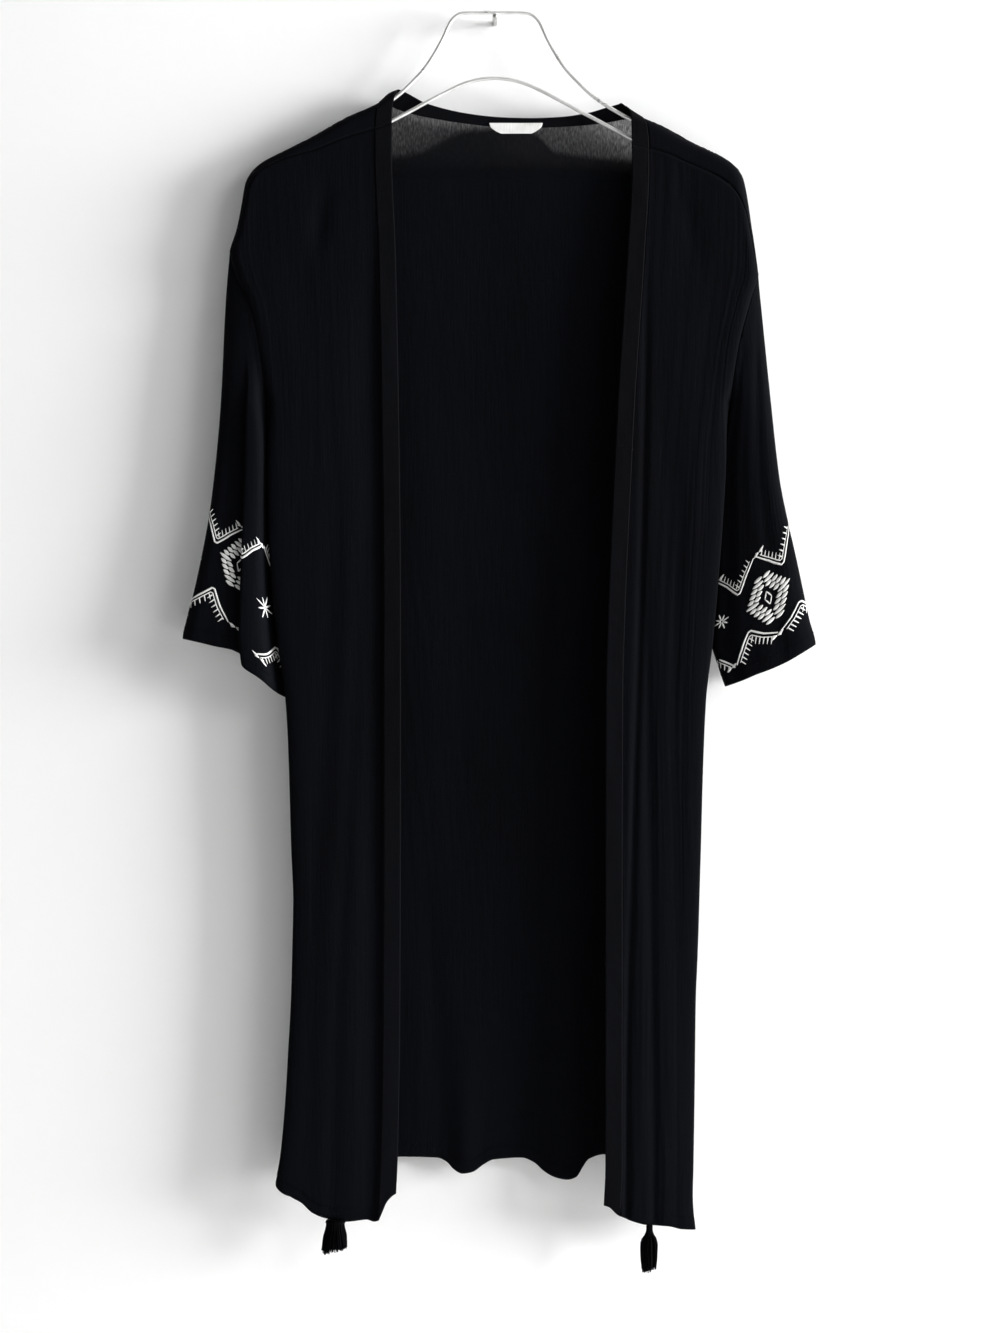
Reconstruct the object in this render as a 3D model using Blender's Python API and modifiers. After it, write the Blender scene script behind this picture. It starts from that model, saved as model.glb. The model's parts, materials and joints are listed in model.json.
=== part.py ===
"""A long open-front kimono coat on a bent-wire hanger, hung from a round peg in a wall.

Metres, +Z up, +X towards the wearer's left, -Y away from the wall.
The origin is the centre of the peg's back face, on the wall.
The tables below are in millimetres: drop is the distance below the peg, reach the distance
from the middle, and depth the distance out from the wall.
"""

import math

import bmesh
import bpy
import numpy as np

MM = 0.001

# Thickness of the crepe and of the doubled bands.
CLOTH = 1.2
BAND_CLOTH = 1.9

# Gaps that keep the panels apart at their seams. The last is added where a seam turns down.
SEAM_GAP = 0.7
BAND_SEAM_GAP = 1.2
SEAM_TURN_GAP = 1.1
BAND_WIDTH = 15.5

PEG_RADIUS = 2.3
PEG_LENGTH = 31.0
WIRE_RADIUS = 1.75
HANGER_DEPTH = 24.0

# The wearer's sides, as the sign of x, and the two layers of the body, as the sign of depth.
RIGHT, LEFT = -1, 1
FRONT, BACK = 1, -1


def table(names, *rows):
    """A short table as named columns."""
    return dict(zip(names.split(), np.array(rows, float).T))


def fair(x, xs, ys):
    """The value at x on a smooth curve through the points, which never overshoots them."""
    steps = np.diff(xs)
    slopes = np.diff(ys) / steps
    before, after = slopes[:-1], slopes[1:]
    same_way = before * after > 0
    mean = np.where(same_way, 2 * before * after / np.where(same_way, before + after, 1), 0)
    tangents = np.concatenate([slopes[:1], mean, slopes[-1:]])
    i = np.clip(np.searchsorted(xs, x) - 1, 0, len(xs) - 2)
    t = np.clip((x - xs[i]) / steps[i], 0, 1)
    rise = t * t * (3 - 2 * t)
    return (
        ys[i] * (1 - rise)
        + ys[i + 1] * rise
        + steps[i] * t * (1 - t) * ((1 - t) * tangents[i] - t * tangents[i + 1])
    )


def read(rows, column, at):
    """A column of a table, read at a value of the table's first column."""
    key = next(iter(rows))
    return fair(np.asarray(at, float), rows[key], rows[column])


def ease(x):
    """0 below 0, 1 above 1, and a smooth rise between."""
    t = np.clip(x, 0, 1)
    return t * t * (3 - 2 * t)


def turn(x):
    """The profile of a round edge: 0 at the edge, 1 from one radius in."""
    t = np.clip(x, 0, 1)
    return np.sqrt(t * (2 - t))


# Outline of the body

# The body's outer edge from the neck over the shoulder to the head of the armhole, then
# along the armhole seam to the underarm, and down the side seam to the hem.
EDGE = {
    RIGHT: table(
        "drop reach",
        (40, 40), (66, 88), (69, 95), (78, 106), (90, 132), (107, 162), (121, 190),
        (132, 211), (141, 220.5), (151, 225.5), (171, 229), (193, 233.5), (210, 239),
        (235, 233), (258, 222), (293, 213), (347, 206), (484, 202.5), (563, 195.5),
        (617, 188), (662, 185.4), (752, 182.7), (797, 181), (842, 181.8), (887, 183),
        (932, 185.4), (977, 188), (1022, 192), (1038, 194.4), (1050, 197),
    ),
    LEFT: table(
        "drop reach",
        (50, 60), (78, 114), (83, 121), (90, 132), (99, 150), (113, 175), (121, 193),
        (129, 209), (136, 217.5), (144, 223), (160, 227), (189, 231.5), (231, 237.3),
        (257, 230), (298, 219), (347, 212), (488, 202.5), (563, 196), (617, 189.5),
        (662, 187.2), (752, 184.5), (842, 181.8), (887, 180), (977, 179), (1040, 178),
        (1062, 177.5), (1093, 179.5),
    ),
}
ARMHOLE_TOP = {RIGHT: 210.0, LEFT: 231.0}
UNDERARM = 347.0

# Below the underarm the front bulges out past the side seam, and hides it from the front.
BULGE = table("drop swing", (347, 0), (420, 8), (1100, 8))
BULGE_REACH = 0.45
BACK_ARMHOLE = 4.0

# The free edge of each front band, from the shoulder to the hem.
OPENING = {
    RIGHT: table(
        "drop reach",
        (66, 88), (76, 93), (122, 93), (212, 89.5), (347, 86.5), (527, 84.5),
        (707, 84.5), (887, 85), (1022, 87), (1066, 89),
    ),
    LEFT: table(
        "drop reach",
        (78, 114), (86, 122), (136, 123.5), (212, 119.5), (347, 110.5), (437, 106),
        (527, 102), (617, 99.5), (797, 99), (1036, 99), (1071, 97.5),
    ),
}

# The shoulder seam lies forward of the shoulder line and runs out along it.
SHOULDER_SEAM = {
    RIGHT: table(
        "reach drop",
        (85, 93), (104, 100.5), (133, 109), (161, 120), (190, 128.5), (211, 138),
        (224, 158), (232, 192), (239, 213),
    ),
    LEFT: table(
        "reach drop",
        (110, 113), (124, 116.5), (154, 124), (172, 132), (186, 138), (203, 146),
        (217, 158), (226, 176), (232, 204), (237.3, 234),
    ),
}

# The neck band's two edges from the right shoulder seam over the shoulder, round the back of
# the neck and over to the left one. layer is 1 on the front, 0 on the shoulder, -1 behind.
NECK_BAND = table(
    "free_x free_drop seam_x seam_drop layer",
    (-93.1, 96.6, -108.6, 101.9, 1), (-92.6, 84, -108, 92, 1), (-90.8, 74, -106.6, 84, 1),
    (-89, 68.6, -105, 79, 1), (-88, 66, -104, 76.4, 0), (-85.4, 66.4, -101.4, 77.4, -1),
    (-81, 68.2, -96.5, 80, -1), (-73.5, 72.6, -86, 84.6, -1), (-63.4, 78.3, -72, 89, -1),
    (-51.5, 82.3, -57, 92.4, -1), (-39.6, 85.5, -43, 95, -1), (-24, 88.6, -26, 97.6, -1),
    (-7.2, 90.9, -8, 99.8, -1), (13, 92.3, 13, 101.2, -1), (33.3, 92.7, 34, 101.5, -1),
    (50, 92.1, 52, 100.9, -1), (65, 90.9, 69, 99.9, -1), (76, 89.1, 83, 98.6, -1),
    (86, 87, 97, 96.8, -1), (96, 83.8, 109, 94.4, -1), (105, 80.6, 119, 92, -1),
    (111, 79, 126.5, 90, -1), (114.5, 78.5, 131, 89.4, 0), (118.5, 80.8, 134.2, 92.6, 1),
    (121.2, 84.6, 136.6, 97.4, 1), (122.6, 92, 138, 105, 1), (123.1, 102, 138.6, 112, 1),
    (123.3, 116.3, 138.8, 119.9, 1),
)
NECK_CORNER = {RIGHT: 105.3, LEFT: 132.3}

FRONT_HEM = {
    RIGHT: table(
        "reach drop",
        (84, 1057), (92, 1063), (98, 1067), (104, 1086), (112, 1082.5), (133, 1085),
        (152, 1082), (164, 1077), (174, 1068), (184, 1062), (190, 1052.5), (197, 1050),
    ),
    LEFT: table(
        "reach drop",
        (97, 1070), (103, 1072), (110, 1078.5), (123, 1084.5), (137, 1088), (154, 1089),
        (169, 1092.5), (180, 1093),
    ),
}
BACK_HEM = table(
    "x drop",
    (-197, 1050), (-165, 1044), (-130, 1035), (-87, 1032), (-55, 1033), (-42, 1040),
    (-30, 1048), (-17, 1041), (-5, 1035), (23, 1033), (45, 1040), (66, 1053), (75, 1048),
    (82, 1035), (98, 1030), (128, 1037), (158, 1066), (180, 1093),
)

# Depths

# How far the two layers of the body stand out from the wall, before the folds.
LAYERS = table(
    "drop back middle front",
    (60, 17.5, 24, 30.5), (140, 16, 24, 32), (260, 14.5, 25.5, 37), (500, 14, 27, 41),
    (800, 14, 28, 43), (1100, 14, 28, 44),
)
EDGE_TURN = table("drop radius", (60, 6.5), (140, 7), (260, 9), (600, 10), (1100, 10))

# Each fold is a trough where depth is positive and a ridge where it is negative. spread is its
# half width. It fades in below the drop start and is gone by the drop end, and its centre
# drifts from the first place to the second on the way down. An end below the hem never fades.
FRONT_FOLDS = {
    RIGHT: table(
        "start end reach_start reach_end spread depth",
        (150, 1300, 107.5, 107.5, 5, 11),
        (520, 1300, 122, 149, 5, 9),
        (330, 900, 141, 172, 9, 6),
    ),
    LEFT: table(
        "start end reach_start reach_end spread depth",
        (170, 1300, 137, 119.5, 4.5, 8),
        (480, 1300, 150, 141, 6, 11),
        (300, 1300, 163, 166, 7, 5),
    ),
}
BACK_FOLDS = table(
    "start end x_start x_end spread depth",
    (430, 1300, -160, -160, 12, -3),
    (520, 1300, -112, -116, 14, -5),
    (620, 1300, -60, -48, 10, 3.5),
    (560, 1300, -22, -28, 12, -7),
    (600, 1300, 16, 20, 10, 3),
    (560, 1300, 55, 64, 12, -8),
    (600, 1300, 96, 94, 8, 2.5),
    (520, 1300, 140, 132, 14, -5),
)
FOLD_FADE = 180.0
BAND_FADE = 3.0
HEM_LEVEL = 1100.0


def fold_place(folds, i, first, last, drop):
    """Where the centre of a fold lies at a drop, between its places at its start and the hem."""
    share = ease((drop - folds["start"][i]) / (HEM_LEVEL - folds["start"][i]))
    return folds[first][i] + (folds[last][i] - folds[first][i]) * share


def folds_of(layer, side):
    """The folds of this layer and the places of their centres at a drop, as reach."""
    if layer == FRONT:
        folds = FRONT_FOLDS[side]
        return folds, lambda i, drop: fold_place(folds, i, "reach_start", "reach_end", drop)
    return BACK_FOLDS, lambda i, drop: side * fold_place(BACK_FOLDS, i, "x_start", "x_end", drop)


def fold_depth(layer, side, reach, drop):
    """The sum of this layer's folds at a point."""
    folds, place = folds_of(layer, side)
    total = 0 * reach
    for i in range(len(folds["start"])):
        fade_in = ease((drop - folds["start"][i]) / FOLD_FADE)
        fade_out = 1 - ease((drop - folds["end"][i]) / FOLD_FADE + 1)
        away = (reach - place(i, drop)) / folds["spread"][i]
        total = total + folds["depth"][i] * fade_in * fade_out * np.exp(-away * away)
    if layer == FRONT:
        total = total * ease((reach - band_seam(side, drop)) / BAND_FADE)
    return total


def band_seam(side, drop):
    """The reach of the seam between a front and its band."""
    return read(OPENING[side], "reach", drop) + BAND_WIDTH


def armhole_share(side, drop):
    """0 at the head of the armhole and above, 1 at the underarm and below."""
    return np.clip((drop - ARMHOLE_TOP[side]) / (UNDERARM - ARMHOLE_TOP[side]), 0, 1)


def edge_reach(layer, side, drop):
    """The reach of the armhole seam or the side seam; the back's armhole is cut deeper."""
    reach = read(EDGE[side], "reach", drop) - BULGE_REACH * read(BULGE, "swing", drop)
    if layer == BACK:
        reach = reach - BACK_ARMHOLE * np.sin(np.pi * armhole_share(side, drop))
    return reach


def shoulder_drop(side, reach):
    """The drop of the shoulder line."""
    head = EDGE[side]["drop"] <= ARMHOLE_TOP[side]
    return fair(np.asarray(reach, float), EDGE[side]["reach"][head], EDGE[side]["drop"][head])


def below(curve, at, gap):
    """The drop of a line that lies this far below a curve of drops, measured square to it."""
    slope = curve(at + 0.5) - curve(at - 0.5)
    return curve(at) + gap * np.hypot(1, slope)


def from_outline(layer, side, reach, drop):
    """Distance in from the body's outline, measured square to it."""
    down = np.maximum(drop - shoulder_drop(side, reach), 0)
    out = np.maximum(edge_reach(layer, side, drop) - reach, 0)
    return down * out / np.maximum(np.hypot(down, out), 1e-9)


def armhole_gape(side, drop):
    """Half the distance between the front's and the back's edges."""
    share = armhole_share(side, drop)
    lens = np.power(4 * share * (1 - share), ROUNDING / 2)
    side_gap = SEAM_GAP / 2 * ease(share / GAP_GROWN)
    return read(SLEEVE[side], "half", drop) * lens + side_gap


def on_body(layer, side, reach, drop):
    """Points on the front or the back of the body."""
    middle = read(LAYERS, "middle", drop)
    flat = read(LAYERS, "front" if layer == FRONT else "back", drop)
    flat = flat - fold_depth(layer, side, reach, drop)
    edge = middle + layer * armhole_gape(side, drop)
    inward = from_outline(layer, side, reach, drop) / read(EDGE_TURN, "radius", drop)
    depth = edge + (flat - edge) * turn(inward)
    if layer == FRONT:
        reach = reach + read(BULGE, "swing", drop) * np.sin(np.pi * np.clip(inward, 0, 1))
    return np.stack([side * reach, -depth, -drop], -1)


# Sleeves

# A sleeve's section is a flattened ring, and this power makes its edges rounder than an oval's.
ROUNDING = 0.72

# The share of the armhole over which the gap between front and back opens at its head.
GAP_GROWN = 1 / 12

# Sections of each sleeve: its outer edge, and half its thickness.
SLEEVE = {
    RIGHT: table(
        "drop outer outer_depth half",
        (200, 240.3, 24.5, 5), (257, 243, 25, 9), (347, 247, 27, 12), (437, 255.5, 29, 13),
        (509, 268.5, 31, 14), (545, 277.5, 32, 15), (562, 281, 32, 15), (620, 281, 33, 15),
    ),
    LEFT: table(
        "drop outer outer_depth half",
        (200, 237, 24.5, 5), (236, 239.2, 24.7, 7), (275, 241.5, 25, 9),
        (347, 248.5, 27, 12), (419, 256.5, 29, 13), (455, 263.5, 30, 13),
        (491, 271.5, 31, 14), (545, 283, 32, 15), (567, 288.5, 33, 15), (620, 290, 33, 15),
    ),
}
SLEEVE_CLEAR = {
    RIGHT: table("drop gap", (200, 1.8), (340, 1.8), (360, 2.5), (620, 2.2)),
    LEFT: table("drop gap", (200, 1.8), (340, 1.8), (360, 2.5), (560, 3), (589, 14), (606, 22)),
}
# How far the inner edge of each sleeve hangs behind the middle of the body.
SLEEVE_BEHIND = table("drop back", (347, 0), (420, 5), (620, 5))
CUFF = {
    RIGHT: table(
        "across drop",
        (0, 562), (0.2, 566), (0.34, 569), (0.45, 571), (0.53, 574), (0.6, 580),
        (0.68, 589), (0.8, 601), (0.91, 611), (1, 616),
    ),
    LEFT: table(
        "across drop",
        (0, 567), (0.1, 572.5), (0.31, 583), (0.5, 590), (0.65, 594.5), (0.8, 599.5), (1, 605),
    ),
}
# Lengthwise folds of the sleeves' fronts. across is 0 at the outer edge and 1 at the inner;
# forward brings the inner part out, and lap pulls it over the outer part.
SLEEVE_FOLDS = {
    RIGHT: table(
        "across spread start forward lap trough",
        (0.53, 0.085, 290, 9, 8, 0),
        (0.24, 0.1, 330, 0, 0, 2.5),
        (0.88, 0.07, 200, 0, 0, 3),
    ),
    LEFT: table(
        "across spread start forward lap trough",
        (0.35, 0.1, 235, 0, 0, 4),
        (0.66, 0.1, 300, 0, 0, 3),
        (0.88, 0.07, 200, 0, 0, 3),
    ),
}
# The sleeve's head is lowered by this much at the top of the armhole and at the underarm.
LOWERED = 1.8
LOWERED_SHARE = 0.1

# A sleeve's fold grows to its full depth over this drop. It starts flat at the armhole seam,
# and is flat again at the sleeve's inner edge.
FOLD_GROWTH = 110.0
HOLD_AT_SEAM, HOLD_AT_EDGE = 1 / 5, 1 / 12
STEP_SLOPE, STEP_END, STEP_FADE = 1.5, 0.97, 0.16
# This makes the sideways pull of a lap 1 at its strongest.
LAP_SCALE = 2.33


def ring(turned):
    """How far across, and how far out, a point of a flattened ring lies; turned is 0 to 1."""
    level = np.cos(np.pi * turned)
    across = (1 - np.sign(level) * np.abs(level) ** ROUNDING) / 2
    out = np.maximum(np.sin(np.pi * turned), 0) ** ROUNDING
    return across, out


def ring_turned(across):
    """The turn of a flattened ring at which it is this far across."""
    level = 1 - 2 * np.clip(across, 0, 1)
    return np.arccos(np.sign(level) * np.abs(level) ** (1 / ROUNDING)) / np.pi


def on_sleeve(side, layer, turned, down):
    """Points on a sleeve. down is 0 at the armhole seam and 1 at the cuff."""
    across, out = ring(turned)
    head = ARMHOLE_TOP[side]
    ends = ease(turned / LOWERED_SHARE) * ease((1 - turned) / LOWERED_SHARE)
    lowered = LOWERED * (1 - ends)
    seam = head + (UNDERARM - head) * (1 - np.cos(np.pi * turned)) / 2 + lowered
    drop = seam + (read(CUFF[side], "drop", across) - seam) * down
    outer = read(SLEEVE[side], "outer", drop)
    inner = edge_reach(layer, side, drop - lowered) + read(SLEEVE_CLEAR[side], "gap", drop)
    seam_turned = np.arccos(1 - 2 * armhole_share(side, drop - lowered)) / np.pi
    across = np.clip(across / np.maximum(ring(seam_turned)[0], 1e-6), 0, 1)
    reach = outer + (inner - outer) * across
    middle = read(LAYERS, "middle", drop) - read(SLEEVE_BEHIND, "back", drop)
    outer_depth = read(SLEEVE[side], "outer_depth", drop)
    depth = outer_depth + (middle - outer_depth) * across
    depth = depth + layer * read(SLEEVE[side], "half", drop) * out
    if layer == FRONT:
        folds = SLEEVE_FOLDS[side]
        hold = ease(down / HOLD_AT_SEAM) * ease((1 - across) / HOLD_AT_EDGE)
        for i in range(len(folds["across"])):
            away = (across - folds["across"][i]) / folds["spread"][i]
            grown = hold * ease((drop - folds["start"][i]) / FOLD_GROWTH)
            bell = np.exp(-away * away)
            reach = reach + folds["lap"][i] * grown * LAP_SCALE * away * bell
            step = (1 + np.tanh(STEP_SLOPE * away)) / 2 * ease((STEP_END - across) / STEP_FADE)
            depth = depth + grown * (folds["forward"][i] * step - folds["trough"][i] * bell)
    return np.stack([side * reach, -depth, -drop], -1)


# Making the cloth walls


def clear_scene():
    for obj in list(bpy.data.objects):
        bpy.data.objects.remove(obj)


def material(name, colour, roughness, metallic=0.0):
    made = bpy.data.materials.new(name)
    made.use_nodes = True
    shader = made.node_tree.nodes["Principled BSDF"]
    shader.inputs["Base Color"].default_value = (*colour, 1)
    shader.inputs["Roughness"].default_value = roughness
    shader.inputs["Metallic"].default_value = metallic
    return made


def add_object(name, data, finish):
    data.materials.append(finish)
    obj = bpy.data.objects.new(name, data)
    COAT.objects.link(obj)
    return obj


def mesh_of(bm, name):
    bmesh.ops.recalc_face_normals(bm, faces=bm.faces)
    mesh = bpy.data.meshes.new(name)
    bm.to_mesh(mesh)
    bm.free()
    return mesh


def sheet(name, points, finish, thickness, closed=False, keep=None):
    """Cloth through a grid of points; closed joins the last column to the first."""
    rows, columns = points.shape[:2]
    bm = bmesh.new()
    corners = [[bm.verts.new(p * MM) for p in row] for row in points]
    for r in range(rows - 1):
        for c in range(columns if closed else columns - 1):
            if keep is None or keep[r, c]:
                d = (c + 1) % columns
                bm.faces.new((corners[r][c], corners[r + 1][c], corners[r + 1][d], corners[r][d]))
    bmesh.ops.delete(bm, geom=[v for v in bm.verts if not v.link_faces], context="VERTS")
    obj = add_object(name, mesh_of(bm, name), finish)
    obj.data.shade_smooth()
    wall = obj.modifiers.new("wall", "SOLIDIFY")
    wall.thickness = thickness * MM
    wall.offset = 0
    return obj


def spaced(start, end, curve, count):
    """Values from start to end, evenly spaced along the curve that they are plotted on."""
    fine = np.linspace(start, end, 300)
    walked = np.concatenate([[0], np.cumsum(np.hypot(np.diff(fine), np.diff(curve(fine))))])
    return np.interp(np.linspace(0, walked[-1], count), walked, fine)


# Distances of the last columns of a panel from its side edge, and the least between columns.
NEAR_EDGE = (9.0, 4.4, 1.4, 0.0)
LEAST_STEP = 1.5
# Columns keep clear of the folds below SETTLED, and change over from the top edge's own
# spacing between TOP_SPACED and TOP_SPACED + SPACING_FADE.
SETTLED = 300.0
TOP_SPACED, SPACING_FADE = 200.0, 200.0


def between(lines, low, high):
    """Columns from low to high: one before each group of lines, and some at the edge."""
    marks = [low]
    for group in lines:
        marks += [(marks[-1] + group[0]) / 2] + list(group)
    marks += [(marks[-1] + high - NEAR_EDGE[0]) / 2] + [high - n for n in NEAR_EDGE]
    for i in range(1, len(marks) - len(NEAR_EDGE)):
        marks[i] = max(marks[i], marks[i - 1] + LEAST_STEP)
    for i in range(len(marks) - len(NEAR_EDGE) - 1, 0, -1):
        marks[i] = min(marks[i], marks[i + 1] - LEAST_STEP)
    return np.array(marks)


def front_columns(side, drop):
    """The reach of each column of a front at this drop."""
    low = float(band_seam(side, drop)) + BAND_SEAM_GAP
    high = float(edge_reach(FRONT, side, max(drop, ARMHOLE_TOP[side])))
    level = max(drop, SETTLED)
    settled_low = float(band_seam(side, level)) + BAND_SEAM_GAP
    settled_high = float(edge_reach(FRONT, side, level))
    folds, place = folds_of(FRONT, side)
    lines = [
        float(place(i, level)) + folds["spread"][i] * np.array([-0.8, 0, 0.8, 1.6])
        for i in range(len(folds["start"]))
    ]
    settled = between(lines, settled_low, settled_high)
    settled = (settled - settled_low) / (settled_high - settled_low)
    seam = SHOULDER_SEAM[side]
    top_low, top_high = float(band_seam(side, 100.0)) + BAND_SEAM_GAP, seam["reach"][-1]
    top = spaced(top_low, top_high, lambda r: read(seam, "drop", r), len(settled))
    top = (top - top_low) / (top_high - top_low)
    share = top + (settled - top) * ease((drop - TOP_SPACED) / SPACING_FADE)
    return low + (high - low) * np.maximum.accumulate(share)


def back_columns(drop):
    """The x of each column of the back at this drop, with the columns at the neck's corners."""
    low = -float(edge_reach(BACK, RIGHT, max(drop, ARMHOLE_TOP[RIGHT])))
    high = float(edge_reach(BACK, LEFT, max(drop, ARMHOLE_TOP[LEFT])))
    level = max(drop, SETTLED)
    settled_low = -float(edge_reach(BACK, RIGHT, level))
    settled_high = float(edge_reach(BACK, LEFT, level))
    lines = []
    for i in range(len(BACK_FOLDS["start"])):
        centre = float(fold_place(BACK_FOLDS, i, "x_start", "x_end", level))
        lines.append(centre + BACK_FOLDS["spread"][i] * np.array([-1.1, 0, 1.1]))
    settled = between(lines, settled_low + NEAR_EDGE[0], settled_high)
    settled = np.concatenate([settled_low + np.array(NEAR_EDGE[:0:-1]), settled])
    settled = (settled - settled_low) / (settled_high - settled_low)
    neck = NECK_BAND["seam_x"][NECK_BAND["layer"] < 0]
    shoulder = (len(settled) - len(neck)) // 2
    out = {
        side: spaced(
            NECK_CORNER[side], EDGE_TOP[side], lambda reach, s=side: shoulder_drop(s, reach),
            shoulder,
        )
        for side in (RIGHT, LEFT)
    }
    top = np.concatenate([-out[RIGHT][::-1], neck, out[LEFT]])
    top = (top + EDGE_TOP[RIGHT]) / (EDGE_TOP[LEFT] + EDGE_TOP[RIGHT])
    share = top + (settled - top) * ease((drop - TOP_SPACED) / SPACING_FADE)
    return low + (high - low) * np.maximum.accumulate(share)


EDGE_TOP = {side: float(edge_reach(FRONT, side, ARMHOLE_TOP[side])) for side in (RIGHT, LEFT)}
SIDE_HEM = {RIGHT: 1050.0, LEFT: 1093.0}
# Rows of the panels: turns round the armhole, then shares of the side seam below it.
ARMHOLE_TURNS = np.array([0, 0.15, 0.3, 0.45, 0.6, 0.75, 0.87, 0.95, 1])
LOWER_SHARES = np.array([0.07, 0.16, 0.27, 0.39, 0.51, 0.63, 0.75, 0.87, 0.95, 1])


def edge_drops(side):
    """The drops of the rows at the side edge: along the armhole, then down to the hem."""
    head = ARMHOLE_TOP[side]
    armhole = head + (UNDERARM - head) * (1 - np.cos(np.pi * ARMHOLE_TURNS)) / 2
    return np.concatenate([armhole, UNDERARM + (SIDE_HEM[side] - UNDERARM) * LOWER_SHARES])


def walk_down(columns_at, top_of, hem_of, near, sides):
    """Rows of (across, drop): near gives the first drops below the top edge."""
    count = len(columns_at(500.0))
    profiles = [(edge_drops(side) - ARMHOLE_TOP[side]) for side in sides]
    profiles = [p / p[-1] for p in profiles]
    rows = np.zeros((len(near) + len(profiles[0]), count, 2))
    for c in range(count):
        top = 100.0
        for _ in range(6):
            top = float(top_of(columns_at(top)[c]))
        hem = float(hem_of(columns_at(HEM_LEVEL - 30)[c]))
        share = profiles[0] + (profiles[-1] - profiles[0]) * c / (count - 1)
        drops = np.concatenate([top + np.array(near), top + (hem - top) * share])
        rows[:, c, 1] = np.sort(drops)
        rows[:, c, 0] = [columns_at(drop)[c] for drop in rows[:, c, 1]]
    return rows


def front_top(side, reach):
    """The drop of the front's top edge, which keeps clear of the seam where that turns down."""
    gap = SEAM_GAP + SEAM_TURN_GAP * ease((reach - 185) / 20)
    return below(lambda r: read(SHOULDER_SEAM[side], "drop", r), reach, gap)


def make_front(side, name, finish):
    rows = walk_down(
        lambda drop: front_columns(side, drop),
        lambda reach: front_top(side, reach),
        lambda reach: read(FRONT_HEM[side], "drop", reach),
        (),
        (side,),
    )
    return sheet(name, on_body(FRONT, side, rows[..., 0], rows[..., 1]), finish, CLOTH)


def both_sides(layer, x, drop):
    """Points on the back or the front, by x on either side of the middle."""
    right = on_body(layer, RIGHT, -x, drop)
    left = on_body(layer, LEFT, x, drop)
    return np.where((x < 0)[..., None], right, left)


def neck_seam(x):
    """The drop of the seam between the back and the neck band."""
    behind = NECK_BAND["layer"] <= 0
    return fair(np.asarray(x, float), NECK_BAND["seam_x"][behind], NECK_BAND["seam_drop"][behind])


def top_of_back(x):
    if -NECK_CORNER[RIGHT] < x < NECK_CORNER[LEFT]:
        return below(neck_seam, x, SEAM_GAP)
    return shoulder_drop(RIGHT if x < 0 else LEFT, abs(x))


# Rows of the back between the shoulder seam, at 1, and the shoulder line, and the least drop
# between the two.
OVER_SHARES = (1.0, 0.55, 0.22, 0.06)
LEAST_OVER = 2.5
NEAR_TOP = (1.2, 4)


def make_back(finish):
    """The back, which runs over the shoulder line to the forward shoulder seams."""
    rows = walk_down(
        back_columns, top_of_back, lambda x: read(BACK_HEM, "drop", x), NEAR_TOP, (RIGHT, LEFT)
    )
    x, top = rows[0, :, 0], rows[0, :, 1]
    over = np.zeros((len(OVER_SHARES), len(x), 2))
    kept = np.zeros(len(x), bool)
    for side in (RIGHT, LEFT):
        reach = side * x
        corner = NECK_CORNER[side]
        outer = reach > corner - 0.5
        kept |= outer
        front_rows = (NECK_BAND["layer"] >= 0) & (side * NECK_BAND["seam_x"] > 0)
        drops, seam = NECK_BAND["seam_drop"][front_rows], side * NECK_BAND["seam_x"][front_rows]
        order = np.argsort(drops)
        out_share = (reach - corner) / (EDGE_TOP[side] - corner)
        room = np.maximum(read(SHOULDER_SEAM[side], "drop", reach) - top, LEAST_OVER)
        for r, share in enumerate(OVER_SHARES):
            drop = top + room * share
            low = fair(drop, drops[order], seam[order]) + BAND_SEAM_GAP
            placed = low + (EDGE_TOP[side] - low) * out_share
            down = read(SHOULDER_SEAM[side], "drop", placed) - top
            down = np.maximum(down, LEAST_OVER) * share
            over[r, outer] = np.stack([side * placed, top + down], -1)[outer]
    ahead = both_sides(FRONT, over[..., 0], over[..., 1])
    behind = both_sides(BACK, rows[..., 0], rows[..., 1])
    keep = np.ones((len(over) + len(rows) - 1, len(x) - 1), bool)
    keep[: len(over)] = kept[:-1] & kept[1:]
    return sheet("back", np.concatenate([ahead, behind]), finish, CLOTH, keep=keep)


# Rows and columns of the sleeves. A fold that laps has columns of its own, at these steps of
# its spread, and the plain columns keep LAP_CLEAR away from them.
SLEEVE_ROWS = (0, 0.035, 0.09, 0.16, 0.25, 0.35, 0.45, 0.55, 0.65, 0.75, 0.85, 0.94, 1)
FRONT_TURNS = np.sort([*ARMHOLE_TURNS, 0.22, 0.375, 0.5, 0.55, 0.675])
BACK_TURNS = np.sort([*ARMHOLE_TURNS[1:-1], 0.525])
LAP_STEPS = np.array([-1.8, -1.1, -0.7, -0.35, 0, 0.35, 0.7, 1.1, 1.8])
LAP_CLEAR = 0.03


def make_sleeve(side, name, finish):
    """A sleeve, as a closed ring of columns that run from the armhole seam to the cuff."""
    across = ring(FRONT_TURNS)[0]
    folds = SLEEVE_FOLDS[side]
    for i in np.flatnonzero(folds["lap"]):
        steps = folds["across"][i] + folds["spread"][i] * LAP_STEPS
        across = across[(across < steps[0] - LAP_CLEAR) | (across > steps[-1] + LAP_CLEAR)]
        across = np.sort(np.concatenate([across, steps]))
    down = np.array(SLEEVE_ROWS)[:, None]
    ahead = on_sleeve(side, FRONT, ring_turned(across)[None] + 0 * down, down + 0 * across)
    behind = BACK_TURNS[None, ::-1] + 0 * down
    behind = on_sleeve(side, BACK, behind, down + 0 * behind)
    return sheet(name, np.concatenate([ahead, behind], 1), finish, CLOTH, closed=True)


BAND_STEPS = np.array([0, 0.33, 0.67, 1])
BAND_ROWS = (0, 0.012, 0.03, 0.06, 0.1, *LOWER_SHARES[1:])
# About where a front band starts, and how long it is, to find its hem and its top by.
BAND_START, BAND_RUN = 100, 960


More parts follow.
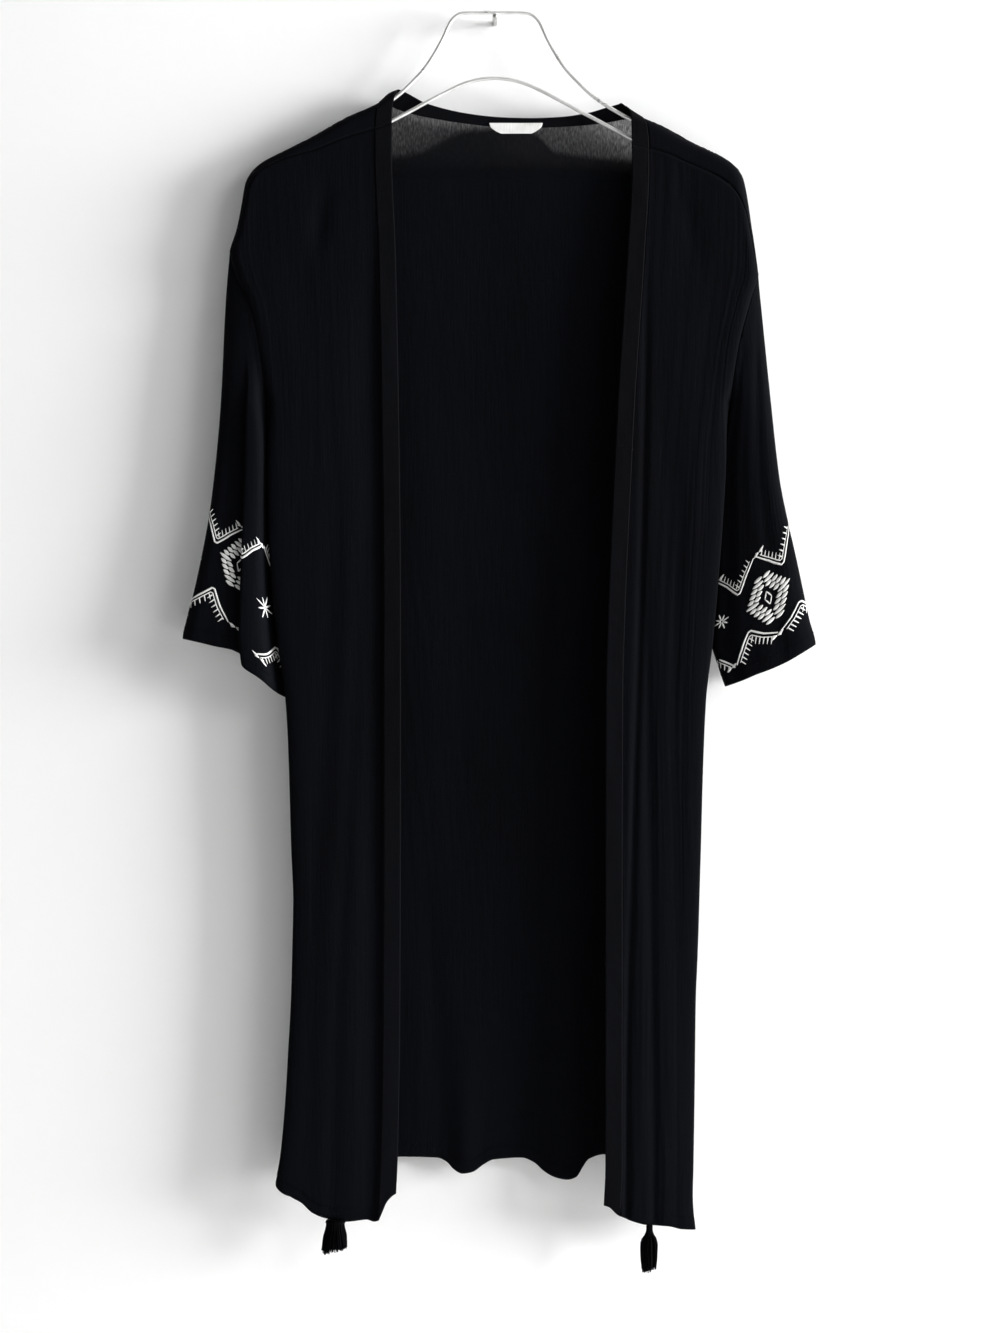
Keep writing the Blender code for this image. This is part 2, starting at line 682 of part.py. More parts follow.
def make_front_band(side, name, finish):
    """The doubled band down the free edge of a front."""
    rows = []
    for share in BAND_ROWS:
        edge = float(read(OPENING[side], "reach", BAND_START + BAND_RUN * share))
        reach = edge + BAND_WIDTH * BAND_STEPS
        top = read(SHOULDER_SEAM[side], "drop", reach) + SEAM_GAP
        hem = read(FRONT_HEM[side], "drop", reach)
        drop = top + (hem - top) * share
        reach = read(OPENING[side], "reach", drop) + BAND_WIDTH * BAND_STEPS
        rows.append(on_body(FRONT, side, reach, drop))
    return sheet(name, np.array(rows), finish, BAND_CLOTH)


def make_neck_band(finish):
    """The band round the neck, over both shoulders to the shoulder seams."""
    rows = []
    for free_x, free_drop, seam_x, seam_drop, layer in zip(*NECK_BAND.values()):
        x = free_x + (seam_x - free_x) * BAND_STEPS
        drop = free_drop + (seam_drop - free_drop) * BAND_STEPS
        side = RIGHT if x[0] < 0 else LEFT
        if layer == 0:
            drop = shoulder_drop(side, side * x)
        rows.append(both_sides(FRONT if layer > 0 else BACK, x, drop))
    return sheet("neck_band", np.array(rows), finish, BAND_CLOTH)


# The label's two ends, as x, from its top to its lower edge.
LABEL = table(
    "share left right",
    (0, -5.4, 43.2), (0.35, -4.4, 42.2), (0.75, 0.5, 37.6), (1, 5.5, 33),
)
LABEL_TOP, LABEL_HEIGHT, LABEL_LIFT, LABEL_CLOTH = 97.2, 9.6, 1.95, 1.0


def make_label(finish):
    """The bare label, which lies on the back just under the neck band."""
    share = LABEL["share"][:, None]
    x = LABEL["left"][:, None] + (LABEL["right"] - LABEL["left"])[:, None] * np.linspace(0, 1, 9)
    points = both_sides(BACK, x, LABEL_TOP + LABEL_HEIGHT * share + 0 * x)
    points[..., 1] -= LABEL_LIFT
    return sheet("label", points, finish, LABEL_CLOTH)


# Tassels

# Reach, the head's radius, the flare of the strands, their length, and their sideways lean.
TASSELS = {
    RIGHT: {"reach": 144.0, "neck": 3.0, "flare": 3.1, "length": 23.0, "lean": -1.5},
    LEFT: {"reach": 139.6, "neck": 2.8, "flare": 2.3, "length": 31.0, "lean": -1.5},
}
TASSEL_SECTORS = 12
HEAD_PROFILE = table("share radius", (0, 0.35), (0.12, 0.8), (0.45, 1.15), (0.8, 0.95), (1, 1.2))
HEAD_LENGTH = 9.0
# The head's flat underside has two rings of cells inside it, and each cell becomes a strand.
UNDER_RINGS = (0.72, 0.25)
CELL_GAP = 0.07
STRAND_STEPS = 3
STRAND_WAVE, STRAND_UNEVEN = 0.5, 2.5
# From the hem down to the head.
TASSEL_GAP = 0.45


def make_tassel(side, name, finish):
    """A bound head whose underside is drawn out, cell by cell, into strands."""
    spec = TASSELS[side]
    hem = float(read(FRONT_HEM[side], "drop", spec["reach"]))
    centre = on_body(FRONT, side, spec["reach"], hem) - [0, 0, TASSEL_GAP]
    angles = np.arange(TASSEL_SECTORS) * 2 * math.pi / TASSEL_SECTORS
    around = np.stack([np.cos(angles), np.sin(angles), 0 * angles], -1)
    bm = bmesh.new()

    def loop(radius, down):
        return [bm.verts.new((centre + radius * a - [0, 0, down]) * MM) for a in around]

    rings = [
        loop(spec["neck"] * r, HEAD_LENGTH * s)
        for s, r in zip(HEAD_PROFILE["share"], HEAD_PROFILE["radius"])
    ]
    outer = rings[-1]
    rings += [loop(spec["neck"] * share, HEAD_LENGTH) for share in UNDER_RINGS]
    bm.faces.new(rings[0])
    bm.faces.new(rings[-1][::-1])
    cells = []
    for upper, lower in zip(rings, rings[1:]):
        for i in range(TASSEL_SECTORS):
            j = (i + 1) % TASSEL_SECTORS
            face = bm.faces.new((upper[i], lower[i], lower[j], upper[j]))
            if upper is outer or lower is rings[-1]:
                cells.append(face)
    bmesh.ops.recalc_face_normals(bm, faces=bm.faces)
    bmesh.ops.inset_individual(bm, faces=cells, thickness=CELL_GAP * MM)
    spread = spec["flare"] ** (1 / STRAND_STEPS)
    for step in range(STRAND_STEPS):
        cells = bmesh.ops.extrude_discrete_faces(bm, faces=cells)["faces"]
        for n, face in enumerate(cells):
            away = np.array(face.calc_center_median()) / MM - centre
            away[2] = 0
            wave = STRAND_WAVE * math.sin(2.4 * n + 1.9 * step)
            drop = spec["length"] + STRAND_UNEVEN * math.sin(5.1 * n)
            move = [wave + spec["lean"] / STRAND_STEPS, wave * 0.6, -drop / STRAND_STEPS]
            move = away * (spread - 1) + move
            for vert in face.verts:
                vert.co += type(vert.co)(move * MM)
    return add_object(name, mesh_of(bm, name), finish)


# Hanger and peg

# Half of the wire's line, from the middle of its top bar round the shoulder and back to the
# middle of the lower bar.
WIRE = table(
    "reach drop",
    (0, -4.35), (14, -4.35), (25.6, -4.2), (31.5, -3.2), (36, -0.6), (39, 2.6), (41.7, 6.8),
    (47.4, 19.5), (55.4, 34), (64.4, 47.2), (74.8, 58.4), (85, 68.2), (95, 75.8), (106, 83),
    (118, 89.8), (134, 97.9), (150, 105.6), (166, 113.2), (178, 119), (190, 125),
    (201, 131.2), (209.6, 136.5), (213.6, 141), (214.4, 145.8), (212.2, 150.4), (208, 153),
    (203, 153), (197.5, 150.2), (190, 145.4), (176, 137.2), (151.6, 124.6), (124, 110),
    (106, 100.4), (90, 91.8), (74.8, 83.8), (58, 74.6), (42.6, 66.6), (28, 60), (14.2, 56.2),
    (0, 55),
)


def make_hanger(finish):
    """One closed loop of round wire."""
    half = np.stack([WIRE["reach"], 0 * WIRE["reach"] - HANGER_DEPTH, -WIRE["drop"]], -1)
    mirrored = half[::-1][1:-1] * [-1, 1, 1]
    points = np.concatenate([half, mirrored]) * MM
    curve = bpy.data.curves.new("hanger", "CURVE")
    curve.dimensions = "3D"
    curve.bevel_depth = WIRE_RADIUS * MM
    curve.bevel_resolution = 2
    curve.use_fill_caps = True
    line = curve.splines.new("POLY")
    line.points.add(len(points) - 1)
    for point, place in zip(line.points, points):
        point.co = (*place, 1)
    line.use_cyclic_u = True
    line.use_smooth = True
    return add_object("hanger", curve, finish)


# The peg's radius along its length, both as shares.
PEG_PROFILE = table("out radius", (0, 1), (0.93, 1), (0.975, 0.85), (1, 0.5))
PEG_SIDES = 20


def make_peg(finish):
    """A round pin standing straight out of the wall, with a softened end."""
    bm = bmesh.new()
    rings = []
    for out, radius in zip(PEG_PROFILE["out"], PEG_PROFILE["radius"]):
        angles = np.arange(PEG_SIDES) * 2 * math.pi / PEG_SIDES
        rings.append([
            bm.verts.new((
                PEG_RADIUS * radius * math.cos(a) * MM, -PEG_LENGTH * out * MM,
                PEG_RADIUS * radius * math.sin(a) * MM,
            ))
            for a in angles
        ])
    for near, far in zip(rings, rings[1:]):
        for i in range(PEG_SIDES):
            j = (i + 1) % PEG_SIDES
            bm.faces.new((near[i], far[i], far[j], near[j]))
    bm.faces.new(rings[0])
    bm.faces.new(rings[-1][::-1])
    return add_object("wall_peg", mesh_of(bm, "wall_peg"), finish)


if __name__ == "__main__":
    clear_scene()
    COAT = bpy.data.collections.new("kimono_coat")
    bpy.context.scene.collection.children.link(COAT)
    crepe = material("crepe", (0.012, 0.012, 0.014), 0.85)
    banding = material("banding", (0.014, 0.014, 0.017), 0.8)
    thread = material("tassel_thread", (0.012, 0.012, 0.014), 0.7)
    ribbon = material("white_satin", (0.85, 0.85, 0.83), 0.6)
    wire = material("polished_wire", (0.72, 0.72, 0.7), 0.2, 1.0)
    pin = material("dull_pin", (0.5, 0.5, 0.5), 0.35, 1.0)
    make_back(crepe)
    for side, word in ((RIGHT, "right"), (LEFT, "left")):
        make_front(side, "front_" + word, crepe)
        make_sleeve(side, "sleeve_" + word, crepe)
        make_front_band(side, "band_" + word, banding)
        make_tassel(side, "tassel_" + word, thread)
    make_neck_band(banding)
    make_label(ribbon)
    make_hanger(wire)
    make_peg(pin)
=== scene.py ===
# %% [markdown]
# # A kimono coat on a bent-wire hanger
#
# The real coat is thin black crepe: a back, two fronts, two wide sleeves, and narrow bands of
# the same cloth down the fronts and round the neck. It hangs on a wire hanger from a small pin.
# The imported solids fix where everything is. This lesson dresses them: each panel is made
# again as fine cloth on the same lines, then sewn, embroidered and hung with tassels.

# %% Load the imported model
import json
import math
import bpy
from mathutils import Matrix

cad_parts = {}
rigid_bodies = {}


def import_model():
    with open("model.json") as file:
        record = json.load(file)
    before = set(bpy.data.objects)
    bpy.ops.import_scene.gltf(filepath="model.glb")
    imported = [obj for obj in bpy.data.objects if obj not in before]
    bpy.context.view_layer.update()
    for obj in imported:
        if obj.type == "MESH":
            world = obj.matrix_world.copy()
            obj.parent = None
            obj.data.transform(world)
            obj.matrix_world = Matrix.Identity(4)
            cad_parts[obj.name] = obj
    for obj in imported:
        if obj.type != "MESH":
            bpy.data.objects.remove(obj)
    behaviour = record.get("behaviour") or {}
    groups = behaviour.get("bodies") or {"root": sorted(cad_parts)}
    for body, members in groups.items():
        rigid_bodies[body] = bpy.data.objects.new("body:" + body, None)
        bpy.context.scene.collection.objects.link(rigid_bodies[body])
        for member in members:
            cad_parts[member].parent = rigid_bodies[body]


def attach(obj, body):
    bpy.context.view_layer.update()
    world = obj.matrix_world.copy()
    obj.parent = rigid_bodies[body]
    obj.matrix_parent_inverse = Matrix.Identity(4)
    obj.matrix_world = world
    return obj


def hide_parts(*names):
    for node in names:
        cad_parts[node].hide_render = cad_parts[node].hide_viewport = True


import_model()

from types import SimpleNamespace

import bpy
import numpy as np

for spare in ("Cube", "Camera", "Light"):
    if spare in bpy.data.objects:
        bpy.data.objects.remove(bpy.data.objects[spare])
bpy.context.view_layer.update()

# %% [markdown]
# ## The viewpoint
#
# The photographer stood straight in front of the coat, a little under half way down it. A
# longish lens from 2.4 metres keeps the sides of the coat nearly parallel, as they are in the
# photograph, so the camera needs no shift.

# %% Camera
scene = bpy.context.scene
MM = 0.001


def place(obj, location, look_at):
    """Puts an object in the scene, turned towards a point."""
    scene.collection.objects.link(obj)
    obj.location = location
    away = obj.location - type(obj.location)(look_at)
    obj.rotation_euler = away.to_track_quat("Z", "Y").to_euler()
    return obj


EYE = (0.0045, -2.435, -0.587)
SENSOR, LENS = 36, 72
eye = place(bpy.data.objects.new("eye", bpy.data.cameras.new("eye")), EYE, (EYE[0], 0, EYE[2]))
eye.data.sensor_width, eye.data.lens = SENSOR, LENS
scene.camera = eye
print("the camera sees", round(-EYE[1] * SENSOR / LENS, 2), "metres of height at the wall")

# %% [markdown]
# ## The wall, the floor and the light
#
# The coat hangs close to a white wall, and its wide soft shadow falls to the left. So the main
# light is a tall window far to the right, which grazes the wall, and a weaker one to the right
# of the camera lights the cloth. A faint light from above reaches behind the neck, and another
# behind the wall lets the coat's back be looked at. The wall shows on one side only.

# %% Wall and floor


def plain_board(name, corners, colour, one_sided):
    """A flat board of one pale colour."""
    mesh = bpy.data.meshes.new(name)
    mesh.from_pydata(corners, [], [(0, 1, 2, 3)])
    board = bpy.data.objects.new(name, mesh)
    scene.collection.objects.link(board)
    paint = bpy.data.materials.new(name)
    paint.use_nodes = True
    nodes, links = paint.node_tree.nodes, paint.node_tree.links
    shader = nodes["Principled BSDF"]
    shader.inputs["Base Color"].default_value = (*colour, 1)
    shader.inputs["Roughness"].default_value = 0.9
    shader.inputs["Specular IOR Level"].default_value = 0.1
    if one_sided:
        side, path, either = (
            nodes.new("ShaderNodeNewGeometry"),
            nodes.new("ShaderNodeLightPath"),
            nodes.new("ShaderNodeMath"),
        )
        either.operation = "MAXIMUM"
        clear, mix = nodes.new("ShaderNodeBsdfTransparent"), nodes.new("ShaderNodeMixShader")
        links.new(side.outputs["Backfacing"], either.inputs[0])
        links.new(path.outputs["Is Shadow Ray"], either.inputs[1])
        links.new(either.outputs[0], mix.inputs[0])
        links.new(shader.outputs[0], mix.inputs[1])
        links.new(clear.outputs[0], mix.inputs[2])
        links.new(mix.outputs[0], nodes["Material Output"].inputs["Surface"])
    mesh.materials.append(paint)
    return board


WALL_REACH, WALL_TOP, FLOOR_DROP = 4.0, 2.5, 1.75
FLOOR_FRONT, FLOOR_BACK = -6, 4
wall = plain_board(
    "backdrop_wall",
    [(-WALL_REACH, 0, -FLOOR_DROP), (WALL_REACH, 0, -FLOOR_DROP), (WALL_REACH, 0, WALL_TOP),
     (-WALL_REACH, 0, WALL_TOP)],
    (0.92, 0.92, 0.92), True,
)
plain_board(
    "floor",
    [(-WALL_REACH, FLOOR_FRONT, -FLOOR_DROP), (WALL_REACH, FLOOR_FRONT, -FLOOR_DROP),
     (WALL_REACH, FLOOR_BACK, -FLOOR_DROP), (-WALL_REACH, FLOOR_BACK, -FLOOR_DROP)],
    (0.82, 0.82, 0.81), False,
)
print("wall faces", tuple(wall.data.polygons[0].normal))

# %% Lights


def soft_light(name, location, look_at, width, height, power):
    """A rectangular light, which the camera doesn't see."""
    lamp = bpy.data.lights.new(name, "AREA")
    lamp.shape = "RECTANGLE"
    lamp.size, lamp.size_y, lamp.energy = width, height, power
    place(bpy.data.objects.new(name, lamp), location, look_at).visible_camera = False


CHEST = (0, 0, -0.5)
soft_light("window_grazing", (6.7, -1.8, 0.1), CHEST, 3.0, 2.4, 1050)
soft_light("window_right", (3.4, -2.9, 1.1), CHEST, 2.2, 1.8, 68)
soft_light("ceiling", (0.1, -0.5, 1.6), (0, 0, -0.1), 1.2, 0.4, 5)
soft_light("room_left", (-3.0, -4.5, 1.4), CHEST, 2.5, 2.5, 6)
soft_light("room_behind", (0.8, 3.4, 0.8), CHEST, 2.4, 2.4, 150)
if scene.world is None:
    scene.world = bpy.data.worlds.new("room")
scene.world.use_nodes = True
sky = scene.world.node_tree.nodes["Background"]
sky.inputs["Color"].default_value = (0.96, 0.98, 1, 1)
sky.inputs["Strength"].default_value = 0.078
scene.view_settings.view_transform = "Standard"

# %% [markdown]
# ## Cloth finishes
#
# Crepe is woven from hard-twisted yarn that shrinks into a fine pebble, and this cloth is also
# crinkled lengthwise. One node group makes both: long thin ridges that run down the cloth, and
# a fine grain over them. Each material takes the group with its own scale and strength. Its
# Shade mixes the yarn's uneven slub tone with the same ridges, so the colour is also lighter on
# the crests and darker in the troughs: a painted highlight and painted shade on the crinkles.

# %% A shared weave, as a node group


def new_group(name, inputs, outputs):
    """An empty node group with named inputs and outputs."""
    group = bpy.data.node_groups.new(name, "ShaderNodeTree")
    for label, value in inputs:
        socket = group.interface.new_socket(label, in_out="INPUT", socket_type="NodeSocketFloat")
        socket.default_value = value
    for label in outputs:
        group.interface.new_socket(label, in_out="OUTPUT", socket_type="NodeSocketFloat")
    return group, group.nodes.new("NodeGroupInput"), group.nodes.new("NodeGroupOutput")


def feed(tree, socket, value):
    """Links a socket to another one, or sets it to a plain value."""
    if hasattr(value, "is_linked"):
        tree.links.new(value, socket)
    else:
        socket.default_value = value


def math_node(tree, operation, first, second):
    """A Math node fed by sockets or plain numbers."""
    node = tree.nodes.new("ShaderNodeMath")
    node.operation = operation
    feed(tree, node.inputs[0], first)
    feed(tree, node.inputs[1], second)
    return node.outputs[0]


def mixed(tree, first, second, share):
    """Two values mixed, with this share of the second."""
    node = tree.nodes.new("ShaderNodeMix")
    for at, value in ((0, share), (2, first), (3, second)):
        feed(tree, node.inputs[at], value)
    return node.outputs[0]


def noise_node(tree, spot, stretch, scale, detail):
    """Noise in streaks: the smaller the stretch along an axis, the longer they are that way."""
    node, mapping = tree.nodes.new("ShaderNodeTexNoise"), tree.nodes.new("ShaderNodeMapping")
    feed(tree, mapping.inputs["Vector"], spot)
    feed(tree, mapping.inputs["Scale"], stretch)
    for label, value in (("Vector", mapping.outputs[0]), ("Scale", scale), ("Detail", detail)):
        feed(tree, node.inputs[label], value)
    return node.outputs["Fac"]


LONG_STREAKS, SHORT_STREAKS, SLUB_STREAKS = (1, 1, 0.07), (1, 1, 0.6), (1, 1, 0.25)
SLUBS = 14.0
weave, weave_in, weave_out = new_group(
    "crinkled_weave", [("Ridges", 520.0), ("Grain", 1500.0), ("Grain Share", 0.35)],
    ["Height", "Shade"],
)
spot = weave.nodes.new("ShaderNodeTexCoord").outputs["Object"]
ridges = noise_node(weave, spot, LONG_STREAKS, weave_in.outputs["Ridges"], 2)
grain = noise_node(weave, spot, SHORT_STREAKS, weave_in.outputs["Grain"], 1)
slub = noise_node(weave, spot, SLUB_STREAKS, SLUBS, 2)
height = mixed(weave, ridges, grain, weave_in.outputs["Grain Share"])
weave.links.new(height, weave_out.inputs["Height"])
# Shade: the slub tone of the yarn, plus the ridges, which paint highlight on crests and shade in
# troughs.
weave.links.new(mixed(weave, slub, ridges, 0.4), weave_out.inputs["Shade"])
print("weave group has", len(weave.nodes), "nodes")

# %% [markdown]
# ## From a weave to a material
#
# A material puts the group's Height into a Bump node and its Shade into a ramp between two
# near colours; with the weave, that colour carries the painted highlight and shade along the
# ridges. What is the same all over, such as the sheen, is set on the shader itself.

# %% A maker of finishes


def finish(name, dark, light, group, values, rough, bump, depth, constants):
    """A Principled material whose colour, roughness and bump come from a node group."""
    made = bpy.data.materials.new(name)
    made.use_nodes = True
    tree = made.node_tree
    shader = tree.nodes["Principled BSDF"]
    source = tree.nodes.new("ShaderNodeGroup")
    source.node_tree = group
    for label, value in values.items():
        source.inputs[label].default_value = value
    ramp = tree.nodes.new("ShaderNodeValToRGB")
    for stop, position, colour in zip(ramp.color_ramp.elements, (0.3, 0.7), (dark, light)):
        stop.position, stop.color = position, (*colour, 1)
    tree.links.new(source.outputs["Shade"], ramp.inputs["Fac"])
    tree.links.new(ramp.outputs["Color"], shader.inputs["Base Color"])
    spread = tree.nodes.new("ShaderNodeMapRange")
    spread.inputs["To Min"].default_value, spread.inputs["To Max"].default_value = rough
    tree.links.new(source.outputs["Shade"], spread.inputs["Value"])
    tree.links.new(spread.outputs[0], shader.inputs["Roughness"])
    relief = tree.nodes.new("ShaderNodeBump")
    relief.inputs["Strength"].default_value = bump
    relief.inputs["Distance"].default_value = depth
    tree.links.new(source.outputs["Height"], relief.inputs["Height"])
    tree.links.new(relief.outputs["Normal"], shader.inputs["Normal"])
    for label, value in constants.items():
        shader.inputs[label].default_value = value
    return made


crepe = finish(
    "black_crepe", (0.0010, 0.0012, 0.0019), (0.0022, 0.0026, 0.0042), weave,
    {"Ridges": 520, "Grain": 1500, "Grain Share": 0.35}, (0.72, 0.9), 0.6, 0.0006,
    {"Specular IOR Level": 0.035, "Sheen Weight": 0.006, "Sheen Roughness": 0.5},
)
banding = finish(
    "pressed_crepe", (0.0010, 0.0011, 0.0017), (0.0021, 0.0024, 0.0038), weave,
    {"Ridges": 600, "Grain": 1600, "Grain Share": 0.5}, (0.66, 0.85), 0.45, 0.0005,
    {"Specular IOR Level": 0.045, "Sheen Weight": 0.008, "Sheen Roughness": 0.5},
)
satin = finish(
    "white_satin", (0.62, 0.62, 0.6), (0.86, 0.86, 0.85), weave,
    {"Ridges": 1400, "Grain": 2600, "Grain Share": 0.5}, (0.35, 0.55), 0.5, 0.0002,
    {"Specular IOR Level": 0.4, "Sheen Weight": 0.1},
)
tassel_thread = finish(
    "black_thread", (0.0005, 0.0005, 0.0007), (0.0014, 0.0014, 0.002), weave,
    {"Ridges": 1200, "Grain": 2400, "Grain Share": 0.3}, (0.6, 0.85), 0.7, 0.0004,
    {"Specular IOR Level": 0.03},
)
print("cloth finishes:", crepe.name, banding.name, satin.name, tassel_thread.name)

# %% [markdown]
# ## The neck, with painted light behind the cloth
#
# The crepe is thin. Low on the coat the wall behind is in shadow and the cloth looks black,
# but behind the neck the wall is lit and shows through, in a strip that dips at both ends. That
# bright strip is partly lamp light on the wall and partly painted light: a second copy of the
# crepe is see-through only inside a mask drawn in the shape of the lit patch, and opaque below
# it. A ramp gives the height of its lower edge from side to side, uneven threads thin the cloth,
# and limits on depth and on x keep the parts of the back that go over the shoulders plain.

# %% Crepe with painted light at the neck
sheer_crepe = crepe.copy()
sheer_crepe.name = "sheer_crepe"
tree = sheer_crepe.node_tree
spot = tree.nodes.new("ShaderNodeTexCoord").outputs["Object"]
parts = tree.nodes.new("ShaderNodeSeparateXYZ")
tree.links.new(spot, parts.inputs[0])
# Share of the way across, and how far the painted light's lower edge is raised there.
LIT_PATCH_EDGE = [
    (0, 0.1), (0.12, 0.2), (0.2, 0.45), (0.3, 0.95), (0.45, 1), (0.6, 0.9), (0.67, 0.2), (1, 0),
]
LIT_PATCH_FROM, LIT_PATCH_TO, LIT_PATCH_RISE = -0.10, 0.13, 0.030
LIT_STRIP_EDGE, FAINT_LIGHT_EDGE = (-0.138, -0.124), (-0.148, -0.128)
LIT_STRIP_OPENING, FAINT_LIGHT_OPENING = 0.43, 0.17
THIN_THREADS, THREAD_GAIN, THREAD_BASE = 760.0, 1.7, 0.15
LIMITS = (("Y", -0.0225, -0.0205, 0, 1), ("X", -0.112, -0.106, 0, 1), ("X", 0.132, 0.138, 1, 0))


def between_levels(value, low, high, start, end, smooth="SMOOTHSTEP"):
    """A smooth change from start to end as a value goes from low to high."""
    node = tree.nodes.new("ShaderNodeMapRange")
    node.interpolation_type = smooth
    for label, level in zip(("From Min", "From Max", "To Min", "To Max"), (low, high, start, end)):
        node.inputs[label].default_value = level
    tree.links.new(value, node.inputs["Value"])
    return node.outputs[0]


ramp = tree.nodes.new("ShaderNodeValToRGB")
ramp.color_ramp.interpolation = "B_SPLINE"
while len(ramp.color_ramp.elements) < len(LIT_PATCH_EDGE):
    ramp.color_ramp.elements.new(0.5)
for stop, (position, level) in zip(ramp.color_ramp.elements, LIT_PATCH_EDGE):
    stop.position, stop.color = position, (level, level, level, 1)
across = between_levels(parts.outputs["X"], LIT_PATCH_FROM, LIT_PATCH_TO, 0, 1, "LINEAR")
tree.links.new(across, ramp.inputs["Fac"])
raised = math_node(tree, "MULTIPLY", ramp.outputs["Color"], LIT_PATCH_RISE)
above = math_node(tree, "SUBTRACT", parts.outputs["Z"], raised)
# The strip and the faint band below it are painted light: they open the cloth only where the wall
# behind it is lit.
painted_lit_strip = between_levels(above, *LIT_STRIP_EDGE, 0, LIT_STRIP_OPENING)
painted_faint_light = between_levels(parts.outputs["Z"], *FAINT_LIGHT_EDGE, 0, FAINT_LIGHT_OPENING)
threads = noise_node(tree, spot, (1, 1, 0.3), THIN_THREADS, 2)
opened_where_lit = math_node(tree, "ADD", math_node(tree, "MULTIPLY", threads, THREAD_GAIN), THREAD_BASE)
opened_where_lit = math_node(tree, "MULTIPLY", opened_where_lit, math_node(tree, "MAXIMUM", painted_lit_strip, painted_faint_light))
for axis, *levels in LIMITS:
    opened_where_lit = math_node(tree, "MULTIPLY", opened_where_lit, between_levels(parts.outputs[axis], *levels))
solid = math_node(tree, "SUBTRACT", 1.0, opened_where_lit)
tree.links.new(solid, tree.nodes["Principled BSDF"].inputs["Alpha"])
print("the sheer strip's ramp has", len(ramp.color_ramp.elements), "stops")

# %% [markdown]
# ## Metal
#
# The hanger is bright drawn wire, handled enough to have faint dull patches and fine scuffs
# along it. One group gives those patches, and both the wire and the pin use it.

# %% Handled metal, as a node group
wear, wear_in, wear_out = new_group(
    "handled_metal", [("Patches", 60.0), ("Scuffs", 900.0)], ["Height", "Shade"],
)
spot = wear.nodes.new("ShaderNodeTexCoord").outputs["Object"]
patches = noise_node(wear, spot, (1, 1, 1), wear_in.outputs["Patches"], 3)
scuffs = noise_node(wear, spot, (0.2, 1, 1), wear_in.outputs["Scuffs"], 2)
wear.links.new(scuffs, wear_out.inputs["Height"])
wear.links.new(mixed(wear, patches, scuffs, 0.3), wear_out.inputs["Shade"])
bright_wire = finish(
    "polished_wire", (0.62, 0.62, 0.61), (0.9, 0.9, 0.89), wear,
    {"Patches": 70, "Scuffs": 900}, (0.2, 0.4), 0.15, 0.0001, {"Metallic": 0.55},
)
pin_metal = finish(
    "dull_pin", (0.35, 0.35, 0.34), (0.6, 0.6, 0.58), wear,
    {"Patches": 240, "Scuffs": 1500}, (0.3, 0.5), 0.3, 0.0001, {"Metallic": 1.0},
)
print("metal finishes:", bright_wire.name, pin_metal.name)

# %% [markdown]
# ## The coat's own lines
#
# A hanging coat is easiest to describe by three measures: drop, the distance below the pin;
# reach, the distance from the middle; and depth, the distance out from the wall. The tables
# below are nearly the same as those that the solids were made from, in millimetres, so every
# panel made here lies in its solid's place. A smooth curve that never overshoots joins the rows.

# %% Tables and curves
RIGHT, LEFT = -1, 1
FRONT, BACK = 1, -1
# How far the panels stand apart at their seams; a band's seam overlaps.
SEAM_GAP, BAND_SEAM_GAP, SEAM_TURN_GAP = 0.15, -0.6, 0.5
BAND_WIDTH = 15.5


def table(names, *rows):
    """A short table as named columns."""
    return dict(zip(names.split(), np.array(rows, float).T))


def fair(x, xs, ys):
    """The value at x on a smooth curve through the points, which never overshoots them."""
    steps = np.diff(xs)
    slopes = np.diff(ys) / steps
    before, after = slopes[:-1], slopes[1:]
    same_way = before * after > 0
    mean = np.where(same_way, 2 * before * after / np.where(same_way, before + after, 1), 0)
    tangents = np.concatenate([slopes[:1], mean, slopes[-1:]])
    i = np.clip(np.searchsorted(xs, x) - 1, 0, len(xs) - 2)
    t = np.clip((x - xs[i]) / steps[i], 0, 1)
    rise = t * t * (3 - 2 * t)
    return (
        ys[i] * (1 - rise)
        + ys[i + 1] * rise
        + steps[i] * t * (1 - t) * ((1 - t) * tangents[i] - t * tangents[i + 1])
    )


def read(rows, column, at):
    """A column of a table, read at a value of the table's first column."""
    key = next(iter(rows))
    return fair(np.asarray(at, float), rows[key], rows[column])


def ease(x):
    """0 below 0, 1 above 1, and a smooth rise between."""
    t = np.clip(x, 0, 1)
    return t * t * (3 - 2 * t)


def turn(x):
    """The profile of a round edge: 0 at the edge, 1 from one radius in."""
    t = np.clip(x, 0, 1)
    return np.sqrt(t * (2 - t))

# %% [markdown]
# ## Outline of the body
#
# The edge runs from the neck over the shoulder to the head of the armhole, down the armhole
# to the underarm, and down the side seam to the hem. Each front ends in a narrow band, and the
# hems dip and rise where the folds push them out.

# %% Outline tables
EDGE = {
    RIGHT: table(
        "drop reach",
        (40, 40), (66, 88), (69, 95), (78, 106), (90, 132), (107, 162), (121, 190),
        (132, 211), (141, 220.5), (151, 225.5), (171, 229), (193, 233.5), (210, 239),
        (235, 233), (258, 222), (293, 213), (347, 206), (484, 202.5), (563, 195.5),
        (617, 188), (662, 185.4), (752, 182.7), (797, 181), (842, 181.8), (887, 183),
        (932, 185.4), (977, 188), (1022, 192), (1038, 194.4), (1050, 197),
    ),
    LEFT: table(
        "drop reach",
        (50, 60), (78, 114), (83, 121), (90, 132), (99, 150), (113, 175), (121, 193),
        (129, 209), (136, 217.5), (144, 223), (160, 227), (189, 231.5), (231, 237.3),
        (257, 230), (298, 219), (347, 212), (488, 202.5), (563, 196), (617, 189.5),
        (662, 187.2), (752, 184.5), (842, 181.8), (887, 180), (977, 179), (1040, 178),
        (1062, 177.5), (1093, 179.5),
    ),
}
ARMHOLE_TOP = {RIGHT: 210.0, LEFT: 231.0}
UNDERARM = 347.0

